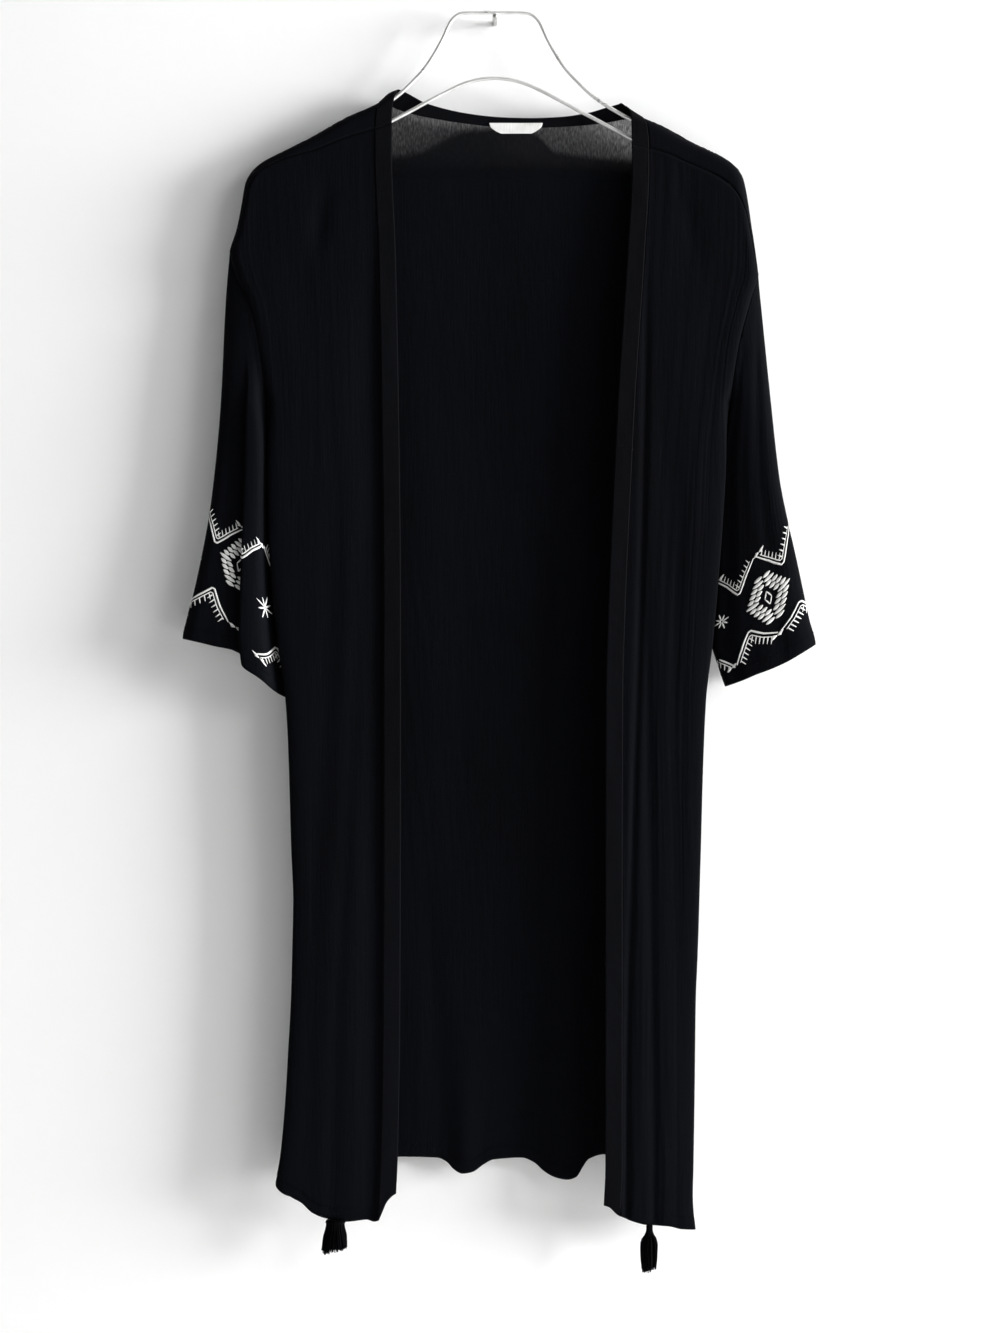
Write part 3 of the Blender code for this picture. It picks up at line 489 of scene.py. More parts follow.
# Below the underarm the front bulges out past the side seam, and hides it from the front.
BULGE = table("drop swing", (347, 0), (420, 8), (1100, 8))
BULGE_REACH = 0.45
BACK_ARMHOLE = 4.0

# The free edge of each front band, from the shoulder to the hem.
OPENING = {
    RIGHT: table(
        "drop reach",
        (66, 88), (76, 93), (122, 93), (212, 89.5), (347, 86.5), (527, 84.5),
        (707, 84.5), (887, 85), (1022, 87), (1066, 89),
    ),
    LEFT: table(
        "drop reach",
        (78, 114), (86, 122), (136, 123.5), (212, 119.5), (347, 110.5), (437, 106),
        (527, 102), (617, 99.5), (797, 99), (1036, 99), (1071, 97.5),
    ),
}

# The shoulder seam lies forward of the shoulder line and runs out along it.
SHOULDER_SEAM = {
    RIGHT: table(
        "reach drop",
        (85, 93), (104, 100.5), (133, 109), (161, 120), (190, 128.5), (211, 138),
        (224, 158), (232, 192), (239, 213),
    ),
    LEFT: table(
        "reach drop",
        (110, 113), (124, 116.5), (154, 124), (172, 132), (186, 138), (203, 146),
        (217, 158), (226, 176), (232, 204), (237.3, 234),
    ),
}

# The neck band's two edges from the right shoulder seam over the shoulder, round the back of
# the neck and over to the left one. layer is 1 on the front, 0 on the shoulder, -1 behind.
NECK_BAND = table(
    "free_x free_drop seam_x seam_drop layer",
    (-93.1, 96.6, -108.6, 101.9, 1), (-92.6, 84, -108, 92, 1), (-90.8, 74, -106.6, 84, 1),
    (-89, 68.6, -105, 79, 1), (-88, 66, -104, 76.4, 0), (-85.4, 66.4, -101.4, 77.4, -1),
    (-81, 68.2, -96.5, 80, -1), (-73.5, 72.6, -86, 84.6, -1), (-63.4, 78.3, -72, 89, -1),
    (-51.5, 82.3, -57, 92.4, -1), (-39.6, 85.5, -43, 95, -1), (-24, 88.6, -26, 97.6, -1),
    (-7.2, 90.9, -8, 99.8, -1), (13, 92.3, 13, 101.2, -1), (33.3, 92.7, 34, 101.5, -1),
    (50, 92.1, 52, 100.9, -1), (65, 90.9, 69, 99.9, -1), (76, 89.1, 83, 98.6, -1),
    (86, 87, 97, 96.8, -1), (96, 83.8, 109, 94.4, -1), (105, 80.6, 119, 92, -1),
    (111, 79, 126.5, 90, -1), (114.5, 78.5, 131, 89.4, 0), (118.5, 80.8, 134.2, 92.6, 1),
    (121.2, 84.6, 136.6, 97.4, 1), (122.6, 92, 138, 105, 1), (123.1, 102, 138.6, 112, 1),
    (123.3, 116.3, 138.8, 119.9, 1),
)
NECK_CORNER = {RIGHT: 105.3, LEFT: 132.3}
# Behind the neck the band is a little higher than its solid, as it is in the photograph.
NECK_LIFT = 3.0
behind = NECK_BAND["layer"] < 0
lift = NECK_LIFT * np.sqrt(np.sin(np.pi * np.linspace(0.03, 0.97, behind.sum())))
for edge in ("free_drop", "seam_drop"):
    NECK_BAND[edge][behind] -= lift

FRONT_HEM = {
    RIGHT: table(
        "reach drop",
        (84, 1057), (92, 1062), (97, 1068), (101, 1077), (104.5, 1084), (108.5, 1085.5),
        (115, 1083.5), (133, 1085),
        (152, 1082), (164, 1077), (174, 1068), (184, 1062), (190, 1052.5), (197, 1050),
    ),
    LEFT: table(
        "reach drop",
        (97, 1070), (103, 1072), (110, 1078.5), (123, 1084.5), (137, 1088), (154, 1089),
        (169, 1092.5), (180, 1093),
    ),
}
BACK_HEM = table(
    "x drop",
    (-197, 1050), (-165, 1044), (-130, 1035), (-87, 1032), (-55, 1033), (-46, 1036.5),
    (-38, 1043.5), (-30, 1047), (-21, 1045.5), (-12, 1039), (-3, 1034.5), (23, 1033),
    (34, 1037), (44, 1045), (55, 1050.5), (66, 1052.5), (74, 1050), (79, 1041), (84, 1034),
    (98, 1030), (128, 1037), (158, 1066), (180, 1093),
)
print("the coat is", FRONT_HEM[LEFT]["drop"].max() - EDGE[RIGHT]["drop"].min(), "mm long")

# %% [markdown]
# ## Depths and folds
#
# The back and the fronts each lie nearly flat, and turn round to meet at the side seams. Every
# fold is a bell-shaped trough or ridge that fades in below its start and drifts sideways on the
# way down. The solids have deeper folds in the same places. Here they are softer, because the
# light that grazes the wall shows even shallow ones.

# %% Depths and folds
# How far the two layers of the body stand out from the wall, before the folds.
LAYERS = table(
    "drop back middle front",
    (60, 17.5, 24, 30.5), (140, 16, 24, 32), (260, 14.5, 25.5, 37), (500, 14, 27, 41),
    (800, 14, 28, 43), (1100, 14, 28, 44),
)
EDGE_TURN = table("drop radius", (60, 6.5), (140, 7), (260, 9), (600, 10), (1100, 10))

# Each fold is a trough where depth is positive and a ridge where it is negative. spread is its
# half width. It fades in below start and out above end, and its centre drifts on the way.
FRONT_FOLDS = {
    RIGHT: table(
        "start end reach_start reach_end spread depth",
        (150, 1300, 106, 106, 15, 2.8),
        (420, 1300, 122, 147, 7, 0.7),
        (330, 900, 141, 172, 12, 0.9),
        (640, 1300, 163, 168, 9, 0.4),
    ),
    LEFT: table(
        "start end reach_start reach_end spread depth",
        (170, 1300, 137, 117.5, 3.5, 1.6),
        (480, 1300, 137, 143, 5, 1.6),
        (300, 1300, 163, 166, 8, 0.7),
    ),
}
BACK_FOLDS = table(
    "start end x_start x_end spread depth",
    (430, 1300, -160, -160, 12, -2),
    (520, 1300, -112, -116, 14, -2),
    (700, 1300, -64, -46, 12, 1.2),
    (860, 1300, -26, -28, 13, -2.6),
    (820, 1300, 12, 20, 12, 0.8),
    (780, 1300, 50, 62, 15, -2.8),
    (640, 1300, 96, 94, 9, 0.8),
    (520, 1300, 140, 132, 14, -2),
)
FOLD_FADE = 180.0
HEM_LEVEL = 1100.0
FLAT_BY_BAND = 3.0

# Soft dents, where the cloth sinks in below the ends of the hanger and creases in the back.
# lean is how far a dent's middle moves out from its top to its foot.
DENT_NAMES = "reach drop half_width half_height lean depth"
DENTS = {
    (FRONT, RIGHT): table(
        DENT_NAMES, (158, 186, 9, 30, 4, 1.9), (172, 262, 16, 60, -10, 0.9),
        (120, 330, 12, 90, 6, 0.5),
    ),
    (FRONT, LEFT): table(
        DENT_NAMES, (176, 190, 9, 34, 5, 1.0), (192, 300, 12, 60, -6, 0.8),
        (150, 380, 9, 110, 4, 0.5),
    ),
    (BACK, RIGHT): table(
        DENT_NAMES, (40, 330, 26, 70, 12, 0.6), (5, 905, 22, 5, -9, -0.9),
        (30, 640, 14, 120, 6, 0.5),
    ),
    (BACK, LEFT): table(
        DENT_NAMES, (38, 948, 26, 5, 10, -0.9), (24, 992, 18, 5, -8, 0.8),
        (60, 430, 24, 110, -12, 0.5),
    ),
}


def dents(layer, side, reach, drop):
    """The sum of this layer's dents at a point; a ridge is a dent of negative depth."""
    total = 0 * reach
    for at, level, half_width, half_height, lean, depth in zip(*DENTS[layer, side].values()):
        down = (drop - level) / half_height
        away = (reach - (at + lean * np.clip(down, -1, 1))) / half_width
        total = total + depth * np.exp(-away * away - down * down)
    return total


def fold_depth(layer, side, reach, drop):
    """The sum of this layer's folds and dents at a point. The back's folds are given by x."""
    folds, flip = (FRONT_FOLDS[side], 1) if layer == FRONT else (BACK_FOLDS, side)
    total = 0 * reach
    for start, end, first, last, spread, depth in zip(*folds.values()):
        drift = ease((drop - start) / (HEM_LEVEL - start))
        away = (reach - flip * (first + (last - first) * drift)) / spread
        fade_in = ease((drop - start) / FOLD_FADE)
        fade_out = 1 - ease((drop - end) / FOLD_FADE + 1)
        total = total + depth * fade_in * fade_out * np.exp(-away * away)
    total = total + dents(layer, side, reach, drop)
    if layer == FRONT:
        total = total * ease((reach - band_seam(side, drop)) / FLAT_BY_BAND)
    return total


def band_seam(side, drop):
    """The reach of the seam between a front and its band."""
    return read(OPENING[side], "reach", drop) + BAND_WIDTH


def armhole_share(side, drop):
    """The share of the way down the armhole."""
    return np.clip((drop - ARMHOLE_TOP[side]) / (UNDERARM - ARMHOLE_TOP[side]), 0, 1)


def edge_reach(layer, side, drop):
    """The reach of the armhole seam or the side seam; the back's armhole is cut deeper."""
    reach = read(EDGE[side], "reach", drop) - BULGE_REACH * read(BULGE, "swing", drop)
    if layer == BACK:
        reach = reach - BACK_ARMHOLE * np.sin(np.pi * armhole_share(side, drop))
    return reach


def shoulder_drop(side, reach):
    """The drop of the shoulder line."""
    head = EDGE[side]["drop"] <= ARMHOLE_TOP[side]
    return fair(np.asarray(reach, float), EDGE[side]["reach"][head], EDGE[side]["drop"][head])


def below(curve, at, gap):
    """The drop of a line that lies this far below a curve of drops, measured square to it."""
    slope = curve(at + 0.5) - curve(at - 0.5)
    return curve(at) + gap * np.hypot(1, slope)


def from_outline(layer, side, reach, drop):
    """Distance in from the body's outline, measured square to it."""
    down = np.maximum(drop - shoulder_drop(side, reach), 0)
    out = np.maximum(edge_reach(layer, side, drop) - reach, 0)
    return down * out / np.maximum(np.hypot(down, out), 1e-9)


def armhole_gape(side, drop):
    """Half the distance between the front's and the back's edges."""
    share = armhole_share(side, drop)
    lens = np.power(4 * share * (1 - share), ROUNDING / 2)
    return read(SLEEVE[side], "half", drop) * lens + SEAM_GAP / 2 * ease(share * 12)


def on_body(layer, side, reach, drop):
    """Points on the front or the back of the body."""
    middle = read(LAYERS, "middle", drop)
    flat = read(LAYERS, "front" if layer == FRONT else "back", drop)
    flat = flat - fold_depth(layer, side, reach, drop)
    edge = middle + layer * armhole_gape(side, drop)
    inward = from_outline(layer, side, reach, drop) / read(EDGE_TURN, "radius", drop)
    depth = edge + (flat - edge) * turn(inward)
    if layer == FRONT:
        reach = reach + read(BULGE, "swing", drop) * np.sin(np.pi * np.clip(inward, 0, 1))
    return np.stack([side * reach, -depth, -drop], -1)

# %% [markdown]
# ## The sleeves' tubes
#
# Each sleeve is a flattened tube that starts at the armhole seam and ends at the slanting cuff.
# A point on it has a turn, from 0 at the outer edge to 1 at the inner edge, and a share down.

# %% Sleeve tables
ROUNDING = 0.72

# Sections of each sleeve: its outer edge, and half its thickness.
SLEEVE = {
    RIGHT: table(
        "drop outer outer_depth half",
        (200, 238.2, 24.5, 5), (212, 239.3, 24.5, 5.5), (257, 243, 25, 9),
        (347, 247, 27, 12), (437, 255.5, 29, 13),
        (509, 268.5, 31, 14), (545, 277.5, 32, 15), (562, 281, 32, 15), (620, 281, 33, 15),
    ),
    LEFT: table(
        "drop outer outer_depth half",
        (200, 235.6, 24.5, 5), (233, 237.5, 24.7, 6.8), (275, 241.5, 25, 9),
        (347, 248.5, 27, 12), (419, 256.5, 29, 13), (455, 263.5, 30, 13),
        (491, 271.5, 31, 14), (545, 283, 32, 15), (567, 288.5, 33, 15), (620, 290, 33, 15),
    ),
}
SLEEVE_CLEAR = {
    RIGHT: table("drop gap", (200, 0.3), (340, 0.3), (380, 0.4), (440, 1.6), (620, 2.2)),
    LEFT: table(
        "drop gap", (200, 0.3), (340, 0.3), (380, 0.4), (440, 1.6), (560, 3), (589, 14), (606, 22),
    ),
}
# How far the inner edge of each sleeve hangs behind the middle of the body.
SLEEVE_BEHIND = table("drop back", (347, 0), (420, 5), (620, 5))
CUFF = {
    RIGHT: table(
        "across drop",
        (0, 562), (0.2, 566), (0.34, 569), (0.45, 571), (0.53, 574), (0.6, 580),
        (0.68, 589), (0.8, 601), (0.91, 611), (1, 616),
    ),
    LEFT: table(
        "across drop",
        (0, 567), (0.1, 572.5), (0.31, 583), (0.5, 590), (0.65, 594.5), (0.8, 599.5), (1, 605),
    ),
}
# Lengthwise folds of the sleeves' fronts. across is 0 at the outer edge and 1 at the inner;
# forward brings the inner part out, and lap pulls it over the outer part.
SLEEVE_FOLDS = {
    RIGHT: table(
        "across spread start forward lap trough",
        (0.61, 0.085, 290, 9, 5, 0),
        (0.24, 0.1, 330, 0, 0, 0.8),
        (0.88, 0.07, 200, 0, 0, 2),
    ),
    LEFT: table(
        "across spread start forward lap trough",
        (0.35, 0.12, 235, 0, 0, 1.2),
        (0.66, 0.12, 300, 0, 0, 1),
        (0.86, 0.09, 200, 0, 0, 2.6),
    ),
}
SLEEVE_FADE = 110.0
# A lap's push is greatest, and one, beside the middle of its fold.
LAP_SCALE = 2.33
# The sleeve's head is lowered by this much at the top of the armhole and at the underarm.
LOWERED, LOWERED_SHARE = 0.3, 0.1


def ring(turned):
    """How far across, and how far out, a point of a flattened ring lies; turned is 0 to 1."""
    level = np.cos(np.pi * turned)
    across = (1 - np.sign(level) * np.abs(level) ** ROUNDING) / 2
    out = np.maximum(np.sin(np.pi * turned), 0) ** ROUNDING
    return across, out


def ring_turned(across):
    """The turn of a flattened ring at which it is this far across."""
    level = 1 - 2 * np.clip(across, 0, 1)
    return np.arccos(np.sign(level) * np.abs(level) ** (1 / ROUNDING)) / np.pi


def armhole_drop(side, turned):
    """The drop of the armhole seam at a turn of the sleeve."""
    head = ARMHOLE_TOP[side]
    return head + (UNDERARM - head) * (1 - np.cos(np.pi * turned)) / 2


def on_sleeve(side, layer, turned, down):
    """Points on a sleeve. down is 0 at the armhole seam and 1 at the cuff."""
    across, out = ring(turned)
    ends = ease(turned / LOWERED_SHARE) * ease((1 - turned) / LOWERED_SHARE)
    lowered = LOWERED * (1 - ends)
    seam = armhole_drop(side, turned) + lowered
    drop = seam + (read(CUFF[side], "drop", across) - seam) * down
    outer = read(SLEEVE[side], "outer", drop)
    inner = edge_reach(layer, side, drop - lowered) + read(SLEEVE_CLEAR[side], "gap", drop)
    seam_turned = np.arccos(1 - 2 * armhole_share(side, drop - lowered)) / np.pi
    across = np.clip(across / np.maximum(ring(seam_turned)[0], 1e-6), 0, 1)
    reach = outer + (inner - outer) * across
    middle = read(LAYERS, "middle", drop) - read(SLEEVE_BEHIND, "back", drop)
    outer_depth = read(SLEEVE[side], "outer_depth", drop)
    depth = outer_depth + (middle - outer_depth) * across
    depth = depth + layer * read(SLEEVE[side], "half", drop) * out
    if layer == FRONT:
        hold = ease(down * 5) * ease((1 - across) * 12)
        for at, spread, start, forward, lap, trough in zip(*SLEEVE_FOLDS[side].values()):
            away = (across - at) / spread
            grown = hold * ease((drop - start) / SLEEVE_FADE)
            bell = np.exp(-away * away)
            reach = reach + lap * grown * LAP_SCALE * away * bell
            step = (1 + np.tanh(1.5 * away)) / 2 * ease((0.97 - across) / 0.16)
            depth = depth + grown * (forward * step - trough * bell)
    return np.stack([side * reach, -depth, -drop], -1)

# %% [markdown]
# ## Crinkles
#
# The cloth is crinkled lengthwise: thin creases a few millimetres apart that wander, split and
# fade. Smooth random hills, squeezed sideways and folded at their middle, give such creases.
# They are real bumps in the mesh, because at this size they catch the light along their sides.

# %% Random hills and crinkles
# How wide and how long one hill of each kind is, in millimetres.
WANDER, CREASE, FINEST = (45, 210), (5.0, 190), (2.6, 90)
STRENGTH, SLACK = (48, 220), (36, 280)


def hills(x, y, seed):
    """Smooth random heights from -1 to 1, about one hill to each unit of x and of y."""
    grid = np.random.default_rng(seed).uniform(-1, 1, (128, 128))
    i, j = np.floor(x).astype(int), np.floor(y).astype(int)
    u, v = ease(x - i), ease(y - j)
    near = grid[i % 128, j % 128] * (1 - u) + grid[(i + 1) % 128, j % 128] * u
    far = grid[i % 128, (j + 1) % 128] * (1 - u) + grid[(i + 1) % 128, (j + 1) % 128] * u
    return near * (1 - v) + far * v


def crinkle(across, along, seed):
    """Heights of the crinkles at places on a cloth, in millimetres of cloth."""

    def of_size(size, number, moved=0):
        return hills((across + moved) / size[0], along / size[1], seed + number)

    wander = 2.2 * of_size(WANDER, 0)
    creases = 1 - 2 * np.abs(of_size(CREASE, 1, wander))
    strength = 0.6 + 0.5 * of_size(STRENGTH, 3)
    crinkles = strength * (0.3 * creases + 0.14 * of_size(FINEST, 2, wander))
    return crinkles + 0.6 * of_size(SLACK, 4)


print("crinkle heights:", crinkle(np.linspace(0, 90, 7), np.linspace(0, 300, 7), 1).round(2))

# %% [markdown]
# ## A panel of cloth
#
# A panel is a fine grid of points. It is pushed in and out along its own surface by the
# crinkles, which fade towards its seams so that the panels still meet, and the turned hem
# stands out a little. A Solidify modifier then gives it its thickness.

# %% Making a panel
SEAM_FADE, RING_FADE = 7.0, 12.0
CALM_SHARE = 0.3
CREPE_THICKNESS, BAND_THICKNESS, LABEL_THICKNESS = 0.8, 1.5, 0.6
HEM_RISE, HEM_EDGE = 0.35, 0.8


def unit(vectors):
    """Vectors scaled to a length of one."""
    return vectors / np.maximum(np.linalg.norm(vectors, axis=-1, keepdims=True), 1e-9)


def surface_normals(points, closed=False):
    """The direction square to a grid of points at each of them."""
    if closed:
        along_row = np.roll(points, -1, 1) - np.roll(points, 1, 1)
    else:
        along_row = np.gradient(points, axis=1)
    return unit(np.cross(np.gradient(points, axis=0), along_row))


def walked(points, axis):
    """Distances walked along the rows or down the columns of a grid."""
    steps = np.linalg.norm(np.diff(points, axis=axis), axis=-1)
    start = [(0, 0), (0, 0)]
    start[axis] = (1, 0)
    return np.cumsum(np.pad(steps, start), axis)


def far_along(points):
    """How far along a line each of its points is."""
    return np.concatenate([[0], np.cumsum(np.linalg.norm(np.diff(points, axis=0), axis=1))])


def at_marks(marks, far, points):
    """The points of a line at these distances along it."""
    return np.stack([np.interp(marks, far, column) for column in points.T], -1)


def crinkled(points, seed, amount, closed=False, hem=0.0, calm=0.0):
    """The grid pushed out by crinkles that fade near its edges; hem is its turned width, and
    calm how far from its last column the crinkles are still weak."""
    across, along = walked(points, 1), walked(points, 0)
    to_hem, to_end = along[-1:] - along, across[:, -1:] - across
    fade = RING_FADE if closed else SEAM_FADE
    height = amount * crinkle(across, along, seed)
    height = height * ease(along / SEAM_FADE) * ease(to_hem / SEAM_FADE)
    height = height * ease(across / fade) * ease(to_end / fade)
    if calm:
        height = height * (CALM_SHARE + (1 - CALM_SHARE) * ease(to_end / calm))
    if hem:
        height = height + HEM_RISE * ease((hem - to_hem) / HEM_EDGE)
    return points + surface_normals(points, closed) * height[..., None]


def cloth(name, points, material, slot, node, thickness=CREPE_THICKNESS, closed=False, keep=None):
    """A piece of cloth through a grid of points in millimetres."""
    rows, columns = points.shape[:2]
    index = np.arange(rows * columns).reshape(rows, columns)
    if closed:
        index = np.concatenate([index, index[:, :1]], 1)
    quads = np.stack([index[:-1, :-1], index[1:, :-1], index[1:, 1:], index[:-1, 1:]], -1)
    quads = (quads.reshape(-1, 4) if keep is None else quads[keep]).astype(int)
    used = np.unique(quads)
    renumbered = np.zeros(rows * columns, int)
    renumbered[used] = np.arange(len(used))
    mesh = bpy.data.meshes.new(name)
    mesh.from_pydata((points.reshape(-1, 3)[used] * MM).tolist(), [], renumbered[quads].tolist())
    mesh.materials.append(material)
    mesh.shade_smooth()
    panel = bpy.data.objects.new(name, mesh)
    scene.collection.objects.link(panel)
    wall_of_cloth = panel.modifiers.new("cloth", "SOLIDIFY")
    wall_of_cloth.thickness = thickness * MM
    wall_of_cloth.offset = 0
    return dress(panel, slot, node)


def dress(piece, slot, *nodes):
    """Attaches the piece to the root body and hides the solids it stands for; slot is not used."""
    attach(piece, "root")
    if nodes:
        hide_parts(*nodes)
    print(f"{piece.name}: {len(piece.data.polygons)} faces")
    return piece


# %% [markdown]
# ## The grid of each panel
#
# The columns run down the cloth and keep their share of its width, and the rows follow its top
# edge above and its hem below. They are closer together at the side, where the cloth turns.

# %% Rows and columns
LEVELS = np.arange(60.0, 1101.0, 4.0)
TOP_GUESS, NEAR_HEM = 100.0, 1070.0
EVEN_FROM, EVEN_BY = 200.0, 400.0


def spaced(start, end, curve, count):
    """Values from start to end, evenly spaced along the curve that they are plotted on."""
    fine = np.linspace(start, end, 600)
    steps = np.hypot(np.diff(fine), np.diff(curve(fine)))
    far = np.concatenate([[0], np.cumsum(steps)])
    return np.interp(np.linspace(0, far[-1], count), far, fine)


def settled(top, even, drop):
    """The columns' shares at a drop: those of the top edge above, and the even ones below."""
    return top + (even - top) * ease((drop - EVEN_FROM) / (EVEN_BY - EVEN_FROM))


def grid_of(columns_at, top_of, hem_of, down):
    """Places (across, drop) of a panel's points. down gives each row's share of the way."""
    by_level = np.array([columns_at(level) for level in LEVELS])
    places = []
    for column in by_level.T:
        # The column may lean, so its top is looked for again from where it was found.
        top = TOP_GUESS
        for _ in range(12):
            top = float(top_of(np.interp(top, LEVELS, column)))
        hem = float(hem_of(np.interp(NEAR_HEM, LEVELS, column)))
        drops = top + (hem - top) * down
        places.append(np.stack([np.interp(drops, LEVELS, column), drops], -1))
    return np.array(places).transpose(1, 0, 2)


def row_shares(count):
    """Rows that are closer together near the top of a panel and near its hem."""
    even = np.linspace(0, 1, count)
    return 0.72 * even + 0.28 * (1 - np.cos(np.pi * even)) / 2


print("levels:", len(LEVELS))

# %% [markdown]
# ## The two fronts
#
# Each front hangs from the shoulder seam, which lies forward of the shoulder, and runs from the
# band out to the armhole and the side seam, where it bulges a little past the back.

# %% Fronts
FRONT_COLUMNS, FRONT_ROWS, CROWDING = 92, 230, 1.45
FRONT_SPACING = 1 - (1 - np.linspace(0, 1, FRONT_COLUMNS)) ** CROWDING
HEM_TURN, CALM = 11.0, 60.0
SEWN = []


def front_columns(side, drop):
    """The reach of each column of a front at this drop."""
    low = float(band_seam(side, drop)) + BAND_SEAM_GAP
    high = float(edge_reach(FRONT, side, max(drop, ARMHOLE_TOP[side])))
    seam = SHOULDER_SEAM[side]
    top_low, top_high = float(band_seam(side, TOP_GUESS)) + BAND_SEAM_GAP, seam["reach"][-1]
    top = spaced(top_low, top_high, lambda r: read(seam, "drop", r), FRONT_COLUMNS)
    top = (top - top_low) / (top_high - top_low)
    return low + (high - low) * settled(top, FRONT_SPACING, drop)


def front_top(side, reach):
    """The drop of the front's top edge, just below the shoulder seam."""
    gap = SEAM_GAP + SEAM_TURN_GAP * ease((reach - 185) / 20)
    return below(lambda r: read(SHOULDER_SEAM[side], "drop", r), reach, gap)


def hem_line(points, inset, closed=False):
    """Where a line of stitches lies, this far above the foot of a grid, and the way out."""
    along, out = walked(points, 0), surface_normals(points, closed)
    line, ways = (
        np.array([
            at_marks(down[-1] - inset, down, grid[:, c]) for c, down in enumerate(along.T)
        ])
        for grid in (points, out)
    )
    return line, ways


for side, word, amount, seed in ((RIGHT, "right", 0.45, 11), (LEFT, "left", 0.8, 23)):
    grid = grid_of(
        lambda drop: front_columns(side, drop),
        lambda reach: front_top(side, reach),
        lambda reach: read(FRONT_HEM[side], "drop", reach),
        row_shares(FRONT_ROWS),
    )
    smooth = on_body(FRONT, side, grid[..., 0], grid[..., 1])
    points = crinkled(smooth, seed, -amount * side, hem=HEM_TURN, calm=CALM)
    cloth(f"crepe_front_{word}", points, crepe, "crepe", f"front_{word}")
    SEWN.append(hem_line(points, HEM_TURN))

# %% [markdown]
# ## The back
#
# The back is one piece. It runs from the hem up to the neck, and at each side of the neck goes
# on over the shoulder to the forward seam, so the part over the shoulder has no fold at all.

# %% Back
NECK_COLUMNS, SHOULDER_COLUMNS, OVER_ROWS, BACK_ROWS = 96, 60, 12, 196
LEAST_ROOM = 2.5
EDGE_TOP = {side: float(edge_reach(FRONT, side, ARMHOLE_TOP[side])) for side in (RIGHT, LEFT)}


def both_sides(layer, x, drop):
    """Points on the back or the front, by x on either side of the middle."""
    right = on_body(layer, RIGHT, -x, drop)
    left = on_body(layer, LEFT, x, drop)
    return np.where((x < 0)[..., None], right, left)


def neck_seam(x):
    """The drop of the seam between the back and the neck band."""
    behind = NECK_BAND["layer"] <= 0
    return fair(np.asarray(x, float), NECK_BAND["seam_x"][behind], NECK_BAND["seam_drop"][behind])


def top_of_back(x):
    """The drop of the back's top: the neck seam in the middle, the shoulder line outside."""
    if -NECK_CORNER[RIGHT] < x < NECK_CORNER[LEFT]:
        return below(neck_seam, x, SEAM_GAP)
    return shoulder_drop(RIGHT if x < 0 else LEFT, abs(x))


def back_top_columns():
    """Shares of the back's columns at its top, where two of them stand at the neck corners."""
    neck = NECK_BAND["seam_x"][NECK_BAND["layer"] < 0]
    neck = np.interp(np.linspace(0, len(neck) - 1, NECK_COLUMNS), np.arange(len(neck)), neck)
    out = {
        side: spaced(
            NECK_CORNER[side], EDGE_TOP[side], lambda r, s=side: shoulder_drop(s, r),
            SHOULDER_COLUMNS,
        )
        for side in (RIGHT, LEFT)
    }
    top = np.concatenate([-out[RIGHT][::-1], neck, out[LEFT]])
    return (top + EDGE_TOP[RIGHT]) / (EDGE_TOP[LEFT] + EDGE_TOP[RIGHT])


BACK_TOP = back_top_columns()
even = np.linspace(0, 1, len(BACK_TOP))
BACK_SPACING = even - 0.1 * np.sin(2 * np.pi * even) / np.pi * 1.5


def back_columns(drop):
    """The x of each column of the back at this drop."""
    low = -float(edge_reach(BACK, RIGHT, max(drop, ARMHOLE_TOP[RIGHT])))
    high = float(edge_reach(BACK, LEFT, max(drop, ARMHOLE_TOP[LEFT])))
    return low + (high - low) * settled(BACK_TOP, BACK_SPACING, drop)


def over_the_shoulders(x, top):
    """Rows from the shoulder seams up to the shoulder line, and which columns they are on."""
    over = np.zeros((OVER_ROWS, len(x), 2))
    kept = np.zeros(len(x), bool)
    for side in (RIGHT, LEFT):
        reach, corner, seam = side * x, NECK_CORNER[side], SHOULDER_SEAM[side]
        outer = reach > corner - 0.5
        kept |= outer
        ahead = (NECK_BAND["layer"] >= 0) & (side * NECK_BAND["seam_x"] > 0)
        order = np.argsort(NECK_BAND["seam_drop"][ahead])
        drops = NECK_BAND["seam_drop"][ahead][order]
        reaches = side * NECK_BAND["seam_x"][ahead][order]
        out_share = (reach - corner) / (EDGE_TOP[side] - corner)
        room = np.maximum(read(seam, "drop", reach) - top, LEAST_ROOM)
        for r, share in enumerate(np.linspace(1, 0.08, OVER_ROWS) ** 1.8):
            low = fair(top + room * share, drops, reaches) + BAND_SEAM_GAP
            placed = low + (EDGE_TOP[side] - low) * out_share
            down = np.maximum(read(seam, "drop", placed) - top, LEAST_ROOM) * share
            over[r, outer] = np.stack([side * placed, top + down], -1)[outer]
    return over, kept


# The first rows below the top are very close together, so that the cloth turns sharply there.
NEAR_TOP = np.array([0, 0.0003, 0.0012, 0.003, 0.0055])
grid = grid_of(
    back_columns, top_of_back, lambda x: read(BACK_HEM, "drop", x),
    np.concatenate([NEAR_TOP, row_shares(BACK_ROWS)[2:]]),
)
over, kept = over_the_shoulders(grid[0, :, 0], grid[0, :, 1])
ahead = both_sides(FRONT, over[..., 0], over[..., 1])
behind = crinkled(both_sides(BACK, grid[..., 0], grid[..., 1]), 37, -0.45, hem=HEM_TURN)
SEWN.append(hem_line(behind, HEM_TURN))
keep = np.ones((OVER_ROWS + len(grid) - 1, grid.shape[1] - 1), bool)
keep[:OVER_ROWS] = kept[:-1] & kept[1:]
cloth("crepe_back", np.concatenate([ahead, behind]), sheer_crepe, "crepe", "back", keep=keep)

# %% [markdown]
# ## The sleeves
#
# The fronts of the sleeves have lengthwise folds, one of which laps over a little. A tube keeps
# its two halves, front and back, in one closed ring of columns.

# %% Sleeves
SLEEVE_COLUMNS, SLEEVE_ROWS = 104, 120


